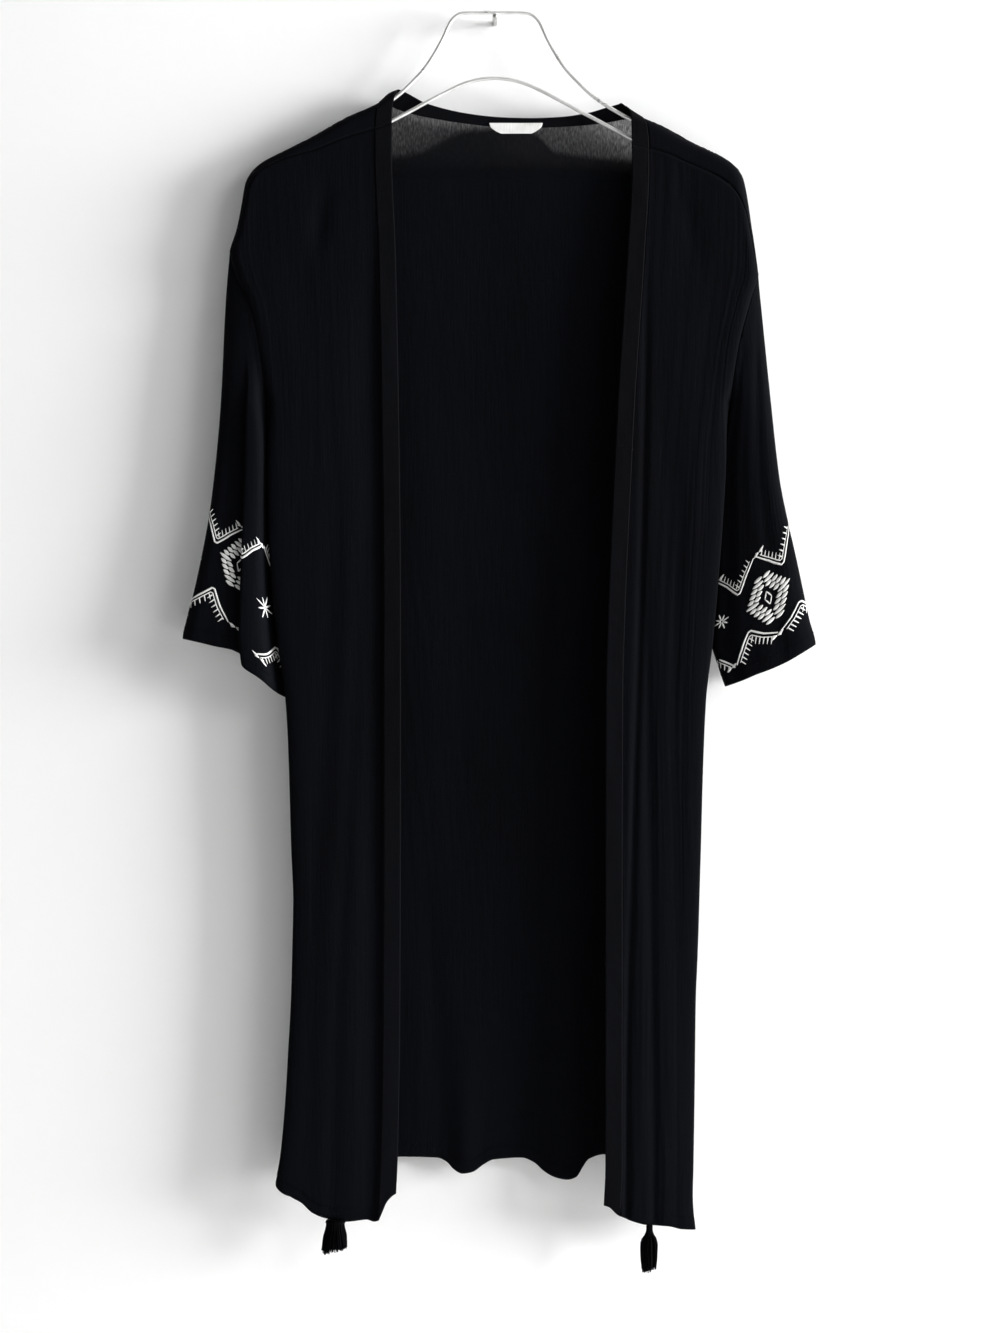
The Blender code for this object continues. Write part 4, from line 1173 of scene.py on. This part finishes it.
def sleeve_points(side):
    """The grid of a sleeve: the columns of its front, then those of its back."""
    across = np.linspace(0, 1, SLEEVE_COLUMNS)
    ahead = (ring_turned(across) + across) / 2
    behind = np.linspace(1, 0, SLEEVE_COLUMNS // 2)[1:-1]
    down = np.linspace(0, 1, SLEEVE_ROWS)[:, None]
    halves = [
        on_sleeve(side, layer, turned[None] + 0 * down, down + 0 * turned)
        for layer, turned in ((FRONT, ahead), (BACK, behind))
    ]
    return np.concatenate(halves, 1)


for side, word, seed in ((RIGHT, "right", 51), (LEFT, "left", 67)):
    points = crinkled(sleeve_points(side), seed, -0.4 * side, closed=True)
    SEWN.append(hem_line(points, HEM_TURN, closed=True))
    cloth(f"crepe_sleeve_{word}", points, crepe, "crepe", f"sleeve_{word}", closed=True)

# %% [markdown]
# ## The bands
#
# A band is a strip of the same crepe, folded in two lengthwise and pressed, so it is thicker
# and smoother than the fronts. It puckers a little where it was sewn.

# %% Front bands and neck band
BAND_COLUMNS = np.linspace(0, 1, 14)
BAND_ROWS, NECK_ROWS = 330, 260
BAND_TOP, BAND_LONG = 100, 960
PUCKER_LONG, WAVE_LONG, BAND_FADE = 7.0, 48.0, 6


def puckered(points, seed, amount):
    """A band's grid with small uneven puckers across it, strongest along its seam."""
    along = walked(points, 0)
    share = BAND_COLUMNS[None]
    height = hills(along / PUCKER_LONG, share * 1.5, seed) * (0.35 + 0.65 * share)
    height = height + 0.6 * hills(along / WAVE_LONG, share * 2, seed + 1)
    height = height * ease(along / BAND_FADE) * ease((along[-1:] - along) / BAND_FADE)
    return points + surface_normals(points) * (amount * height)[..., None]


def make_band(name, rows, seed, amount, node):
    """A band from its rows of points, and the line of stitches beside its seam."""
    rows = np.array(rows)
    SEWN.append((rows[:, -2], surface_normals(rows)[:, -2]))
    cloth(name, puckered(rows, seed, amount), banding, "banding", node, BAND_THICKNESS)


for side, word, seed in ((RIGHT, "right", 81), (LEFT, "left", 97)):
    rows = []
    for share in np.linspace(0, 1, BAND_ROWS):
        edge = float(read(OPENING[side], "reach", BAND_TOP + BAND_LONG * share))
        reach = edge + BAND_WIDTH * BAND_COLUMNS
        top = read(SHOULDER_SEAM[side], "drop", reach) + SEAM_GAP
        drop = top + (read(FRONT_HEM[side], "drop", reach) - top) * share
        reach = read(OPENING[side], "reach", drop) + BAND_WIDTH * BAND_COLUMNS
        rows.append(on_body(FRONT, side, reach, drop))
    make_band(f"band_front_{word}", rows, seed, 0.22, f"band_{word}")

# The neck band goes over each shoulder at the table's row whose layer is 0.
rows, stations = [], np.arange(len(NECK_BAND["layer"]))
over_right, over_left = np.flatnonzero(NECK_BAND["layer"] == 0)
for at in np.linspace(0, len(stations) - 1, NECK_ROWS):
    free_x, free_drop, seam_x, seam_drop = (
        float(fair(np.array(at), stations, NECK_BAND[key]))
        for key in ("free_x", "free_drop", "seam_x", "seam_drop")
    )
    x = free_x + (seam_x - free_x) * BAND_COLUMNS
    drop = free_drop + (seam_drop - free_drop) * BAND_COLUMNS
    layer = BACK if over_right <= at <= over_left else FRONT
    side, nearest = (RIGHT, over_right) if x[0] < 0 else (LEFT, over_left)
    on_crest = 1 - ease(abs(at - nearest))
    drop = drop + (shoulder_drop(side, side * x) - drop) * on_crest
    rows.append(both_sides(layer, x, drop))
make_band("band_neck", rows, 113, 0.12, "neck_band")

# %% [markdown]
# ## The label
#
# A small white satin label, wider at its top, is sewn under the neck band at the middle of the
# back. It is bare.

# %% Label
LABEL = table(
    "share left right",
    (0, -5.4, 43.2), (0.35, -4.4, 42.2), (0.75, 0.5, 37.6), (1, 5.5, 33),
)
LABEL_TOP, LABEL_HEIGHT, LABEL_LIFT, LABEL_WAVES = 94.4, 9.6, 1.95, 0.35
LABEL_ROWS, LABEL_COLUMNS = 18, 60
share = np.linspace(0, 1, LABEL_ROWS)[:, None]
left, right = read(LABEL, "left", share), read(LABEL, "right", share)
x = left + (right - left) * np.linspace(0, 1, LABEL_COLUMNS)
points = both_sides(BACK, x, LABEL_TOP + LABEL_HEIGHT * share + 0 * x)
points[..., 1] -= LABEL_LIFT + LABEL_WAVES * hills(x / 9, share * 2 + 0 * x, 131)
cloth("satin_label", points, satin, "white_satin", "label", LABEL_THICKNESS)

# %% [markdown]
# ## Tubes of thread and wire
#
# Thread, wire and cord are all round in section. One helper sweeps a ring of points along a
# line, keeps the ring square to it, and closes both ends, or joins them for a loop.

# %% Sweeping a ring along a line


def tube_faces(rings, sides, loop=False):
    """The faces of a tube made of rings of points, with its ends closed, or of a loop."""
    faces = [
        (i * sides + k, i * sides + (k + 1) % sides,
         (i + 1) % rings * sides + (k + 1) % sides, (i + 1) % rings * sides + k)
        for i in range(rings if loop else rings - 1) for k in range(sides)
    ]
    if not loop:
        last = (rings - 1) * sides
        faces += [tuple(range(sides))[::-1], tuple(range(last, last + sides))]
    return faces


def swept(points, radius, sides, loop=False):
    """Vertices and faces of a round tube along points, in millimetres."""
    points = np.asarray(points, float)
    if loop:
        heading = unit(np.roll(points, -1, 0) - np.roll(points, 1, 0))
    else:
        heading = unit(np.gradient(points, axis=0))
    flattest = np.eye(3)[np.argmin(np.abs(heading).max(0))]
    across = unit(np.cross(heading, flattest))
    upright = np.cross(heading, across)
    angle = np.arange(sides) * 2 * np.pi / sides
    ring = across[:, None] * np.cos(angle)[:, None] + upright[:, None] * np.sin(angle)[:, None]
    return (points[:, None] + ring * radius).reshape(-1, 3), tube_faces(len(points), sides, loop)


def gathered(name, parts, material):
    """One object made of many (vertices, faces) parts."""
    verts, faces, start = [], [], 0
    for part_verts, part_faces in parts:
        verts.append(part_verts)
        faces += [tuple(start + v for v in face) for face in part_faces]
        start += len(part_verts)
    mesh = bpy.data.meshes.new(name)
    mesh.from_pydata((np.concatenate(verts) * MM).tolist(), [], faces)
    mesh.materials.append(material)
    mesh.shade_smooth()
    piece = bpy.data.objects.new(name, mesh)
    scene.collection.objects.link(piece)
    return piece


def smooth_line(points, count, loop=False):
    """Points evenly spaced along a smooth line through the given ones."""
    points = np.asarray(points, float)
    if loop:
        points = np.concatenate([points[-2:], points, points[:3]])
    else:
        before, after = 2 * points[0] - points[1], 2 * points[-1] - points[-2]
        points = np.concatenate([[before], points, [after]])
    t = np.linspace(0, 1, 24, endpoint=False)[:, None]
    fine = np.concatenate([
        0.5 * (2 * b + (c - a) * t + (2 * a - 5 * b + 4 * c - d) * t**2
               + (3 * b - a - 3 * c + d) * t**3)
        for a, b, c, d in zip(points, points[1:], points[2:], points[3:])
    ])
    fine = fine[len(t):-len(t)] if loop else np.concatenate([fine, points[-2:-1]])
    far = far_along(fine)
    return at_marks(np.linspace(0, far[-1], count), far, fine)


print("tube of 3 points:", len(swept([(0, 0, 0), (0, 0, 1), (0, 0, 2)], 1, 8)[1]), "faces")

# %% [markdown]
# ## The tassels
#
# Each tassel hangs from the hem of a front. It has a neck bound with thread and a skirt of cut
# strands. The right one is short and fanned, the left one long and slim. The strands are single
# threads, because a plain cone would look moulded.

# %% Tassels
# slant shortens the strands on one side, and lean moves the tassel's foot sideways.
TASSELS = {
    RIGHT: {"reach": 143.0, "long": 28.0, "lean": -1.0, "slant": 0.12, "node": "tassel_right",
            "strands": 260, "bound": 2,
            "shape": table("share radius", (0, 8.4), (0.2, 8.6), (0.6, 11.2), (1, 13))},
    LEFT: {"reach": 138.6, "long": 42.0, "lean": -0.6, "slant": 0.04, "node": "tassel_left",
           "strands": 130, "bound": 9, "shape": table(
               "share radius", (0, 2.4), (0.2, 2.6), (0.3, 5.4), (0.42, 7.4), (0.8, 7.6), (1, 7),
           )},
}
STRAND, BINDING, BINDING_STEP = 0.42, 0.5, 0.85


def make_tassel(side, spec, seed):
    """A skirt of single strands, and rings of thread bound round its neck."""
    luck = np.random.default_rng(seed)
    long, lean = spec["long"], spec["lean"]
    hem = float(read(FRONT_HEM[side], "drop", spec["reach"]))
    top = on_body(FRONT, side, np.array(spec["reach"]), np.array(hem))
    parts = []
    for _ in range(spec["strands"]):
        angle, out = luck.uniform(0, 2 * np.pi), math.sqrt(luck.uniform(0.03, 1))
        side_way = np.array([math.cos(angle), 0.7 * math.sin(angle), 0])
        cut = long * (luck.uniform(0.84, 1.03) - spec["slant"] * side_way[0] * out)
        line = []
        for t in np.linspace(0, 1, 9):
            radius = float(read(spec["shape"], "radius", t))
            wave = 0.7 * t * np.array([math.sin(5 * t + angle * 3), math.cos(4 * t + angle * 5), 0])
            line.append(top + side_way * radius * out + wave
                        + np.array([lean * t, 0, 0.8 - cut * t]))
        parts.append(swept(smooth_line(line, 12), STRAND, 5))
    angle = np.linspace(0, 2 * np.pi, 22, endpoint=False)
    ring = np.stack([np.cos(angle), 0.8 * np.sin(angle), 0.08 * np.sin(angle)], -1)
    for n in range(spec["bound"]):
        at = 0.6 + n * BINDING_STEP
        radius = float(read(spec["shape"], "radius", at / long)) + 0.2 * math.sin(n * 1.3)
        centre = top + [lean * at / long, 0, -at]
        parts.append(swept(centre + ring * radius, BINDING, 6, loop=True))
    dress(gathered(f"thread_{spec['node']}", parts, tassel_thread), "tassel_thread", spec["node"])


for side, spec in TASSELS.items():
    make_tassel(side, spec, 200 + side)

# %% [markdown]
# ## The stitching
#
# Hems are turned up and sewn, and the bands are sewn down along their seams. Each stitch is a
# short piece of black thread that dips into the cloth at both ends. The back's hem and the
# sleeves' show their stitches on both faces.

# %% Lines of stitches
STITCH, STITCH_GAP, STITCH_THREAD = 2.5, 0.9, 0.2
# Shares of a stitch's length, and its heights there over the middle of the cloth.
STITCH_SHARES = np.array([0, 0.2, 0.5, 0.8, 1])
STITCH_RISE = np.array([0.1, 0.5, 0.62, 0.5, 0.1]) + 0.1


def stitched(line, out, face, luck):
    """The stitches along one line of points, on the face of the cloth that is asked for."""
    far = far_along(line)
    stitches, start = [], 1.0
    while start + STITCH < far[-1]:
        long = STITCH * luck.uniform(0.88, 1.08)
        at = start + long * STITCH_SHARES
        places = at_marks(at, far, line) + at_marks(at, far, out) * (face * STITCH_RISE)[:, None]
        stitches.append(swept(places, STITCH_THREAD, 5))
        start += long + STITCH_GAP
    return stitches


luck = np.random.default_rng(401)
parts = [
    stitch for line, out in SEWN for face in (1, -1)
    for stitch in stitched(line, out, face, luck)
]
print(len(parts), "stitches")
dress(gathered("seam_stitches", parts, tassel_thread), "tassel_thread")

# %% [markdown]
# ## Embroidery on the sleeves
#
# White thread is embroidered round each sleeve above the cuff: a zigzag with feathered teeth
# above, another below, and stepped diamonds and stars between them. The layout here is drawn
# afresh from these plain old folk shapes. It is laid out on the flat cloth first, as distance
# round the sleeve and height above the cuff, and then wrapped on, so it follows the folds and
# goes round to the back. Each stitch is a small rounded pad of thread.

# %% Wrapping flat distances round a sleeve
from mathutils.bvhtree import BVHTree

SLEEVE_CLOTH = {RIGHT: "crepe_sleeve_right", LEFT: "crepe_sleeve_left"}
GIRTH_LEVEL, GIRTH_STEPS = 0.85, 500


def girth(side):
    """Distances round the sleeve from its outer edge, forward and backward, against turn."""
    turned = np.linspace(0, 1, GIRTH_STEPS)
    level = GIRTH_LEVEL + 0 * turned
    return turned, {
        layer: far_along(on_sleeve(side, layer, turned, level)[:, :2]) for layer in (FRONT, BACK)
    }


def wrapped(side, rounds, around, up):
    """Points on a sleeve at a distance round it (front positive) and a height over its cuff."""
    turned, far = rounds
    places = []
    for layer in (FRONT, BACK):
        at = np.interp(layer * around, far[layer], turned)
        down = 1 - up / (read(CUFF[side], "drop", ring(at)[0]) - armhole_drop(side, at))
        places.append(on_sleeve(side, layer, at, down))
    return np.where((around >= 0)[..., None], places[0], places[1])


for side in (RIGHT, LEFT):
    turned, far = girth(side)
    print("sleeve", side, "is", far[FRONT][-1].round(), "+", far[BACK][-1].round(), "mm round")

# %% [markdown]
# ## One pad of thread
#
# Embroidery thread lies in rows. In a satin line the rows run across the line, so its top is
# notched along its length. In a bar they run from end to end, so its top has lengthwise ridges.

# %% Pads of thread
THREAD, BAR_STEP = 0.42, 1.1
CLOTH_HALF, CLEARANCE, SUNK = 0.42, 0.04, 0.25
# Two more points are read this far away, to find the way out of the cloth.
NEARBY = 0.6


def pad(place_on, line, widths, height, ridges, luck):
    """A rounded pad of thread along a flat line of (around, up) points; ridges is across or
    along. place_on puts flat points on the cloth and gives the directions out of it."""
    far = far_along(line)
    count = max(4, int(far[-1] / (THREAD if ridges == "across" else BAR_STEP)) + 1)
    marks = np.linspace(0, far[-1], count)
    middle = at_marks(marks, far, line)
    width = np.interp(marks / far[-1], np.linspace(0, 1, len(widths)), widths)
    heading = unit(np.gradient(middle, axis=0))
    sideways = np.stack([-heading[:, 1], heading[:, 0]], -1)
    if ridges == "across":
        slots = np.array([-0.5, -0.3, 0, 0.3, 0.5])
        lift = np.array([0.0, 0.8, 1.0, 0.8, 0.0])
        notch = 1 - 0.3 * (np.arange(count) % 2)
        width = width * (1 + 0.1 * luck.uniform(-1, 1, count))
    else:
        threads = max(3, int(width.max() / (1.5 * THREAD)))
        slots = np.linspace(-0.5, 0.5, 2 * threads + 1)
        dome = np.sqrt(np.maximum(1 - (2 * slots) ** 2, 0))
        lift = dome * (1 - 0.35 * (np.arange(len(slots)) % 2 == 0))
        taper = np.sqrt(np.sin(np.pi * np.linspace(0.02, 0.98, count)))
        notch = np.minimum(1, 0.35 + 1.3 * taper)
    flat = middle[:, None] + sideways[:, None] * slots[:, None] * width[:, None, None]
    top, out = place_on(flat)
    over = CLOTH_HALF + CLEARANCE + height * lift * notch[:, None]
    raised = top + out * over[..., None]
    under = (raised[:, 0] + raised[:, -1]) / 2 - out[:, len(slots) // 2] * SUNK
    rings = np.concatenate([raised, under[:, None]], 1)
    return rings.reshape(-1, 3), tube_faces(count, rings.shape[1])


def placer(side):
    """A function that puts flat points on the sleeve's finished cloth."""
    rounds = girth(side)
    mesh = bpy.data.objects[SLEEVE_CLOTH[side]].data
    cloth_tree = BVHTree.FromPolygons(
        [v.co / MM for v in mesh.vertices], [p.vertices[:] for p in mesh.polygons]
    )

    def place_on(flat):
        around, up = flat[..., 0], flat[..., 1]
        points = wrapped(side, rounds, around, up)
        beside = wrapped(side, rounds, around + NEARBY, up)
        above = wrapped(side, rounds, around, up + NEARBY)
        out = unit(np.cross(above - points, beside - points) * side)
        settled = [cloth_tree.find_nearest(p)[0] for p in points.reshape(-1, 3)]
        return np.array(settled).reshape(points.shape), out

    return place_on, rounds[1][FRONT][-1], rounds[1][BACK][-1]


# %% [markdown]
# ## The motifs
#
# Every motif is a few pads: a zigzag is two satin lines with short teeth, a star is eight
# rays, and a diamond is rows of slanting bars round a small open diamond. Each is drawn round
# its own middle first, and set out on the flat sleeve afterwards.

# %% Motifs
PITCH = 44.5


def zigzag(to_tie, lift=(0, 0)):
    """One V with its teeth. to_tie is how far up or down the ties at its ends lie from its
    turn, and lift raises the tie at either end."""
    way = 1 if to_tie > 0 else -1
    reach, rise = PITCH / 2 - 1.4, abs(to_tie) - 1.6
    outer = [(-reach, way * rise), (-reach * 0.5, way * rise * 0.53), (-1.2, 0), (1.2, 0),
             (reach * 0.5, way * rise * 0.53), (reach, way * rise)]
    inner = [(x * 0.8, y * 0.8 + way * 4.0) for x, y in outer]
    pads = [(outer, [1.1, 1.6, 1.6, 1.6, 1.1], 0.7, "across"),
            (inner, [0.7, 0.9, 0.9, 0.9, 0.7], 0.5, "across")]
    for sign in (-1, 1):
        for n in range(6):
            share = 0.08 + n * 0.17
            x, y = sign * reach * 0.8 * share, way * (4.2 + rise * 0.8 * share)
            pads.append(([(x, y), (x - sign * 2.6, y + way * 4.4)], [1.1, 1.0, 0.5], 0.45, "along"))
    far, near = lift
    return [
        ([(x, y + (near if x > 0 else -far) * x / reach) for x, y in line], *rest)
        for line, *rest in pads
    ]


def diamond():
    """Eleven rows of slanting bars, longest in the middle, round a small open diamond."""
    pads = []
    for row in np.arange(-5, 6):
        y = row * 4.1
        outer, inner = 20.5 - abs(y) * 0.62, max(0.8, 9.5 - abs(y) * 0.68)
        for sign in (-1, 1):
            start, end = sign * outer, sign * inner
            spans = [(start, end)]
            if outer - inner > 11:
                middle = (start + end) / 2
                spans = [(start, middle + sign * 0.4), (middle - sign * 0.4, end)]
            for a, b in map(sorted, spans):
                line = [(a - 0.6, y + 0.06 * a - 0.8), (b + 0.6, y + 0.06 * b + 0.8)]
                pads.append((line, [0.9, 2.8, 3.6, 3.0, 0.9], 0.8, "along"))
    small = [(0, 6.4), (3.2, 0), (0, -6.4), (-3.2, 0), (0, 6.4)]
    return pads + [([a, b], [0.7, 1.3, 0.7], 0.5, "along") for a, b in zip(small, small[1:])]


def star(size):
    """Eight rays, every second one a little shorter."""
    pads = []
    for n in range(8):
        angle = n * np.pi / 4 + 0.2
        long = 8.6 if n % 2 == 0 else 7.0
        way = np.array([np.cos(angle), np.sin(angle)])
        pads.append(([way * 0.8, way * long * size], [0.7, 1.5, 1.4, 0.6], 0.6, "along"))
    return pads


# A slanting bow of small leaves, where two zigzags meet.
TIE = [
    ([(-6.2, -2.4), (-0.4, 0.2)], [0.6, 2.6, 1.2], 0.6, "along"),
    ([(0.4, -0.2), (6.2, 2.4)], [1.2, 2.6, 0.6], 0.6, "along"),
    ([(-3.6, 0.9), (-0.3, -0.4)], [0.5, 1.5, 0.8], 0.55, "along"),
    ([(0.3, 0.4), (3.6, -0.9)], [0.8, 1.5, 0.5], 0.55, "along"),
]
print("pads in a diamond:", len(diamond()), "in a zigzag:", len(zigzag(25)))

# %% [markdown]
# ## Setting the motifs out
#
# The motifs stand a pitch apart in three rows. The right sleeve has a fold down its front, and
# the part inside it is pulled up and turned under, so there the rows climb and shift: the
# diamond ends at the fold, and the next V starts there.

# %% The embroidery
LEAN = 0.2
CLIMB_FROM = 45.0
# Each row's height over the cuff and its shift along the sleeve, all in millimetres. climb is
# how steeply the upper and the middle row rise inside the fold. past_fold shifts the upper, the
# middle and the lower row there, and inner slides and raises the upper row's Vs.
LAYOUT = {
    RIGHT: SimpleNamespace(
        upper_tie=109.0, upper_turn=84.0, middle=67.0, lower_turn=47.0, lower_tie=21.0,
        upper_shift=-9.0, lower_shift=-5.0, climb=(0.55, 0.3), past_fold=(1.75, -12.0, -17.5),
        lift=0.0, fold=53.0, inner=(-10.0, 8.0), diamond=(-5.0, 9.0), outer_star=-9.0, star=1.3,
    ),
    LEFT: SimpleNamespace(
        upper_tie=103.0, upper_turn=78.0, middle=60.0, lower_turn=38.5, lower_tie=14.5,
        upper_shift=5.5, lower_shift=-3.5, climb=(0, 0), past_fold=(0, 0, 0),
        lift=11.0, fold=None, inner=(0, 0), diamond=(0, 0), outer_star=0.0, star=0.85,
    ),
}


def drawn(pads, centre, base, climb):
    """Pads given round their own middle, as points on the flat cloth. The rows stand a little
    higher at the outer edge of the sleeve."""
    placed = []
    for line, *rest in pads:
        line = np.asarray(line, float)
        around = centre - line[:, 0] + LEAN * line[:, 1]
        height = base * (1.08 - 0.0022 * (np.clip(around, -10, 90) - 15))
        height = height + climb * np.maximum(around - CLIMB_FROM, 0)
        placed.append((np.stack([around, height + line[:, 1]], -1), *rest))
    return placed


def between(pads, low, high):
    """What lies between two distances round the sleeve."""
    cut = [(line[(line[:, 0] > low) & (line[:, 0] < high)], *rest) for line, *rest in pads]
    return [pad for pad in cut if len(pad[0]) > 1]


def set_out(row, first):
    """The pads of one sleeve's whole band; first is where its middle diamond stands."""
    pads = []
    climb, middle_climb = row.climb
    for k in range(-4, 5):
        past = [shift if k >= start else 0 for shift, start in zip(row.past_fold, (0, 1, 1))]
        slid, up = row.inner if k >= 0 else (0, 0)
        tie_slid, tie_up = row.inner if k >= 1 else (0, 0)
        raised = row.lift if k == 0 else 0
        centre = first + PITCH * k
        upper, lower = centre + row.upper_shift + past[0], centre + row.lower_shift + past[2]
        pads += drawn(TIE, upper + tie_slid, row.upper_tie + tie_up, climb)
        pads += drawn(TIE, lower, row.lower_tie + raised, 0)
        if k % 2 == 0:
            aside, above = row.diamond
            motif = drawn(diamond(), centre + past[1] + aside, row.middle + above, middle_climb)
        else:
            aside = past[1] + (row.outer_star if k == -1 else 0)
            motif = drawn(star(row.star), centre + aside, row.middle, middle_climb)
        vee = zigzag(row.upper_tie - row.upper_turn)
        vee = drawn(vee, upper + slid + PITCH / 2, row.upper_turn + up, climb)
        if k == 0 and row.fold:
            motif, vee = between(motif, -1e3, row.fold), between(vee, row.fold, 1e3)
        pads += motif + vee
        if k != 0 or not row.fold:
            vee = zigzag(row.lower_tie - row.lower_turn, (row.lift if k == -1 else 0, raised))
            pads += drawn(vee, lower + PITCH / 2, row.lower_turn, 0)
    return pads


for side, word, first, seed in ((RIGHT, "right", 49.0, 301), (LEFT, "left", 37.0, 302)):
    place_on, ahead, behind = placer(side)
    luck = np.random.default_rng(seed)
    pads = between(set_out(LAYOUT[side], first), 2 - behind, ahead - 2)
    parts = [pad(place_on, *spec, luck) for spec in pads]
    print(len(parts), "pads of thread")
    dress(gathered(f"embroidery_{word}", parts, satin), "white_satin")

# %% [markdown]
# ## The wire hanger
#
# The hanger is one bent wire with no hook: its flat top rests on the pin. The wire goes out
# along each shoulder, turns back in a tight loop and returns as the lower bar. It is swept as a
# single closed loop, so the bends stay round and the section stays even.

# %% Hanger
WIRE = table(
    "reach drop",
    (0, -4.35), (14, -4.35), (25.6, -4.2), (31.5, -3.2), (36, -0.6), (39, 2.6), (41.7, 6.8),
    (47.4, 19.5), (55.4, 34), (64.4, 47.2), (74.8, 58.4), (85, 68.2), (95, 75.8), (106, 83),
    (118, 89.8), (134, 97.9), (150, 105.6), (166, 113.2), (178, 119), (190, 125),
    (201, 131.2), (209.6, 136.5), (213.6, 141), (214.4, 145.8), (212.2, 150.4), (208, 153),
    (203, 153), (197.5, 150.2), (190, 145.4), (176, 137.2), (151.6, 124.6), (124, 110),
    (106, 100.4), (90, 91.8), (74.8, 83.8), (58, 74.6), (42.6, 66.6), (28, 60), (14.2, 56.2),
    (0, 55),
)
WIRE_RADIUS, HANGER_DEPTH = 1.75, 24.0
WIRE_POINTS, WIRE_SIDES = 900, 14
half = np.stack([WIRE["reach"], 0 * WIRE["reach"] - HANGER_DEPTH, -WIRE["drop"]], -1)
whole = np.concatenate([half, half[::-1][1:-1] * [-1, 1, 1]])
line = smooth_line(whole, WIRE_POINTS, loop=True)[:-1]
wire = gathered("wire_hanger", [swept(line, WIRE_RADIUS, WIRE_SIDES, loop=True)], bright_wire)
dress(wire, "polished_wire", "hanger")
print("wire length", round(far_along(line)[-1]), "mm")

# %% [markdown]
# ## The pin in the wall
#
# A plain round pin with a softened end. It is turned: its outline is spun about its axis.

# %% Pin
PIN = table(
    "out radius",
    (0, 2.3), (0.4, 2.3), (14, 2.3), (28, 2.3), (29.2, 2.24), (30.1, 2.0), (30.7, 1.6),
    (31, 1.05), (31, 0.02),
)
PIN_SIDES = 40
angle = np.arange(PIN_SIDES) * 2 * np.pi / PIN_SIDES
rings = np.concatenate([
    np.stack([r * np.cos(angle), np.full(PIN_SIDES, -out), r * np.sin(angle)], -1)
    for out, r in zip(PIN["out"], PIN["radius"])
])
pin_parts = [(rings, tube_faces(len(PIN["out"]), PIN_SIDES))]
dress(gathered("wall_pin", pin_parts, pin_metal), "dull_pin", "wall_peg")
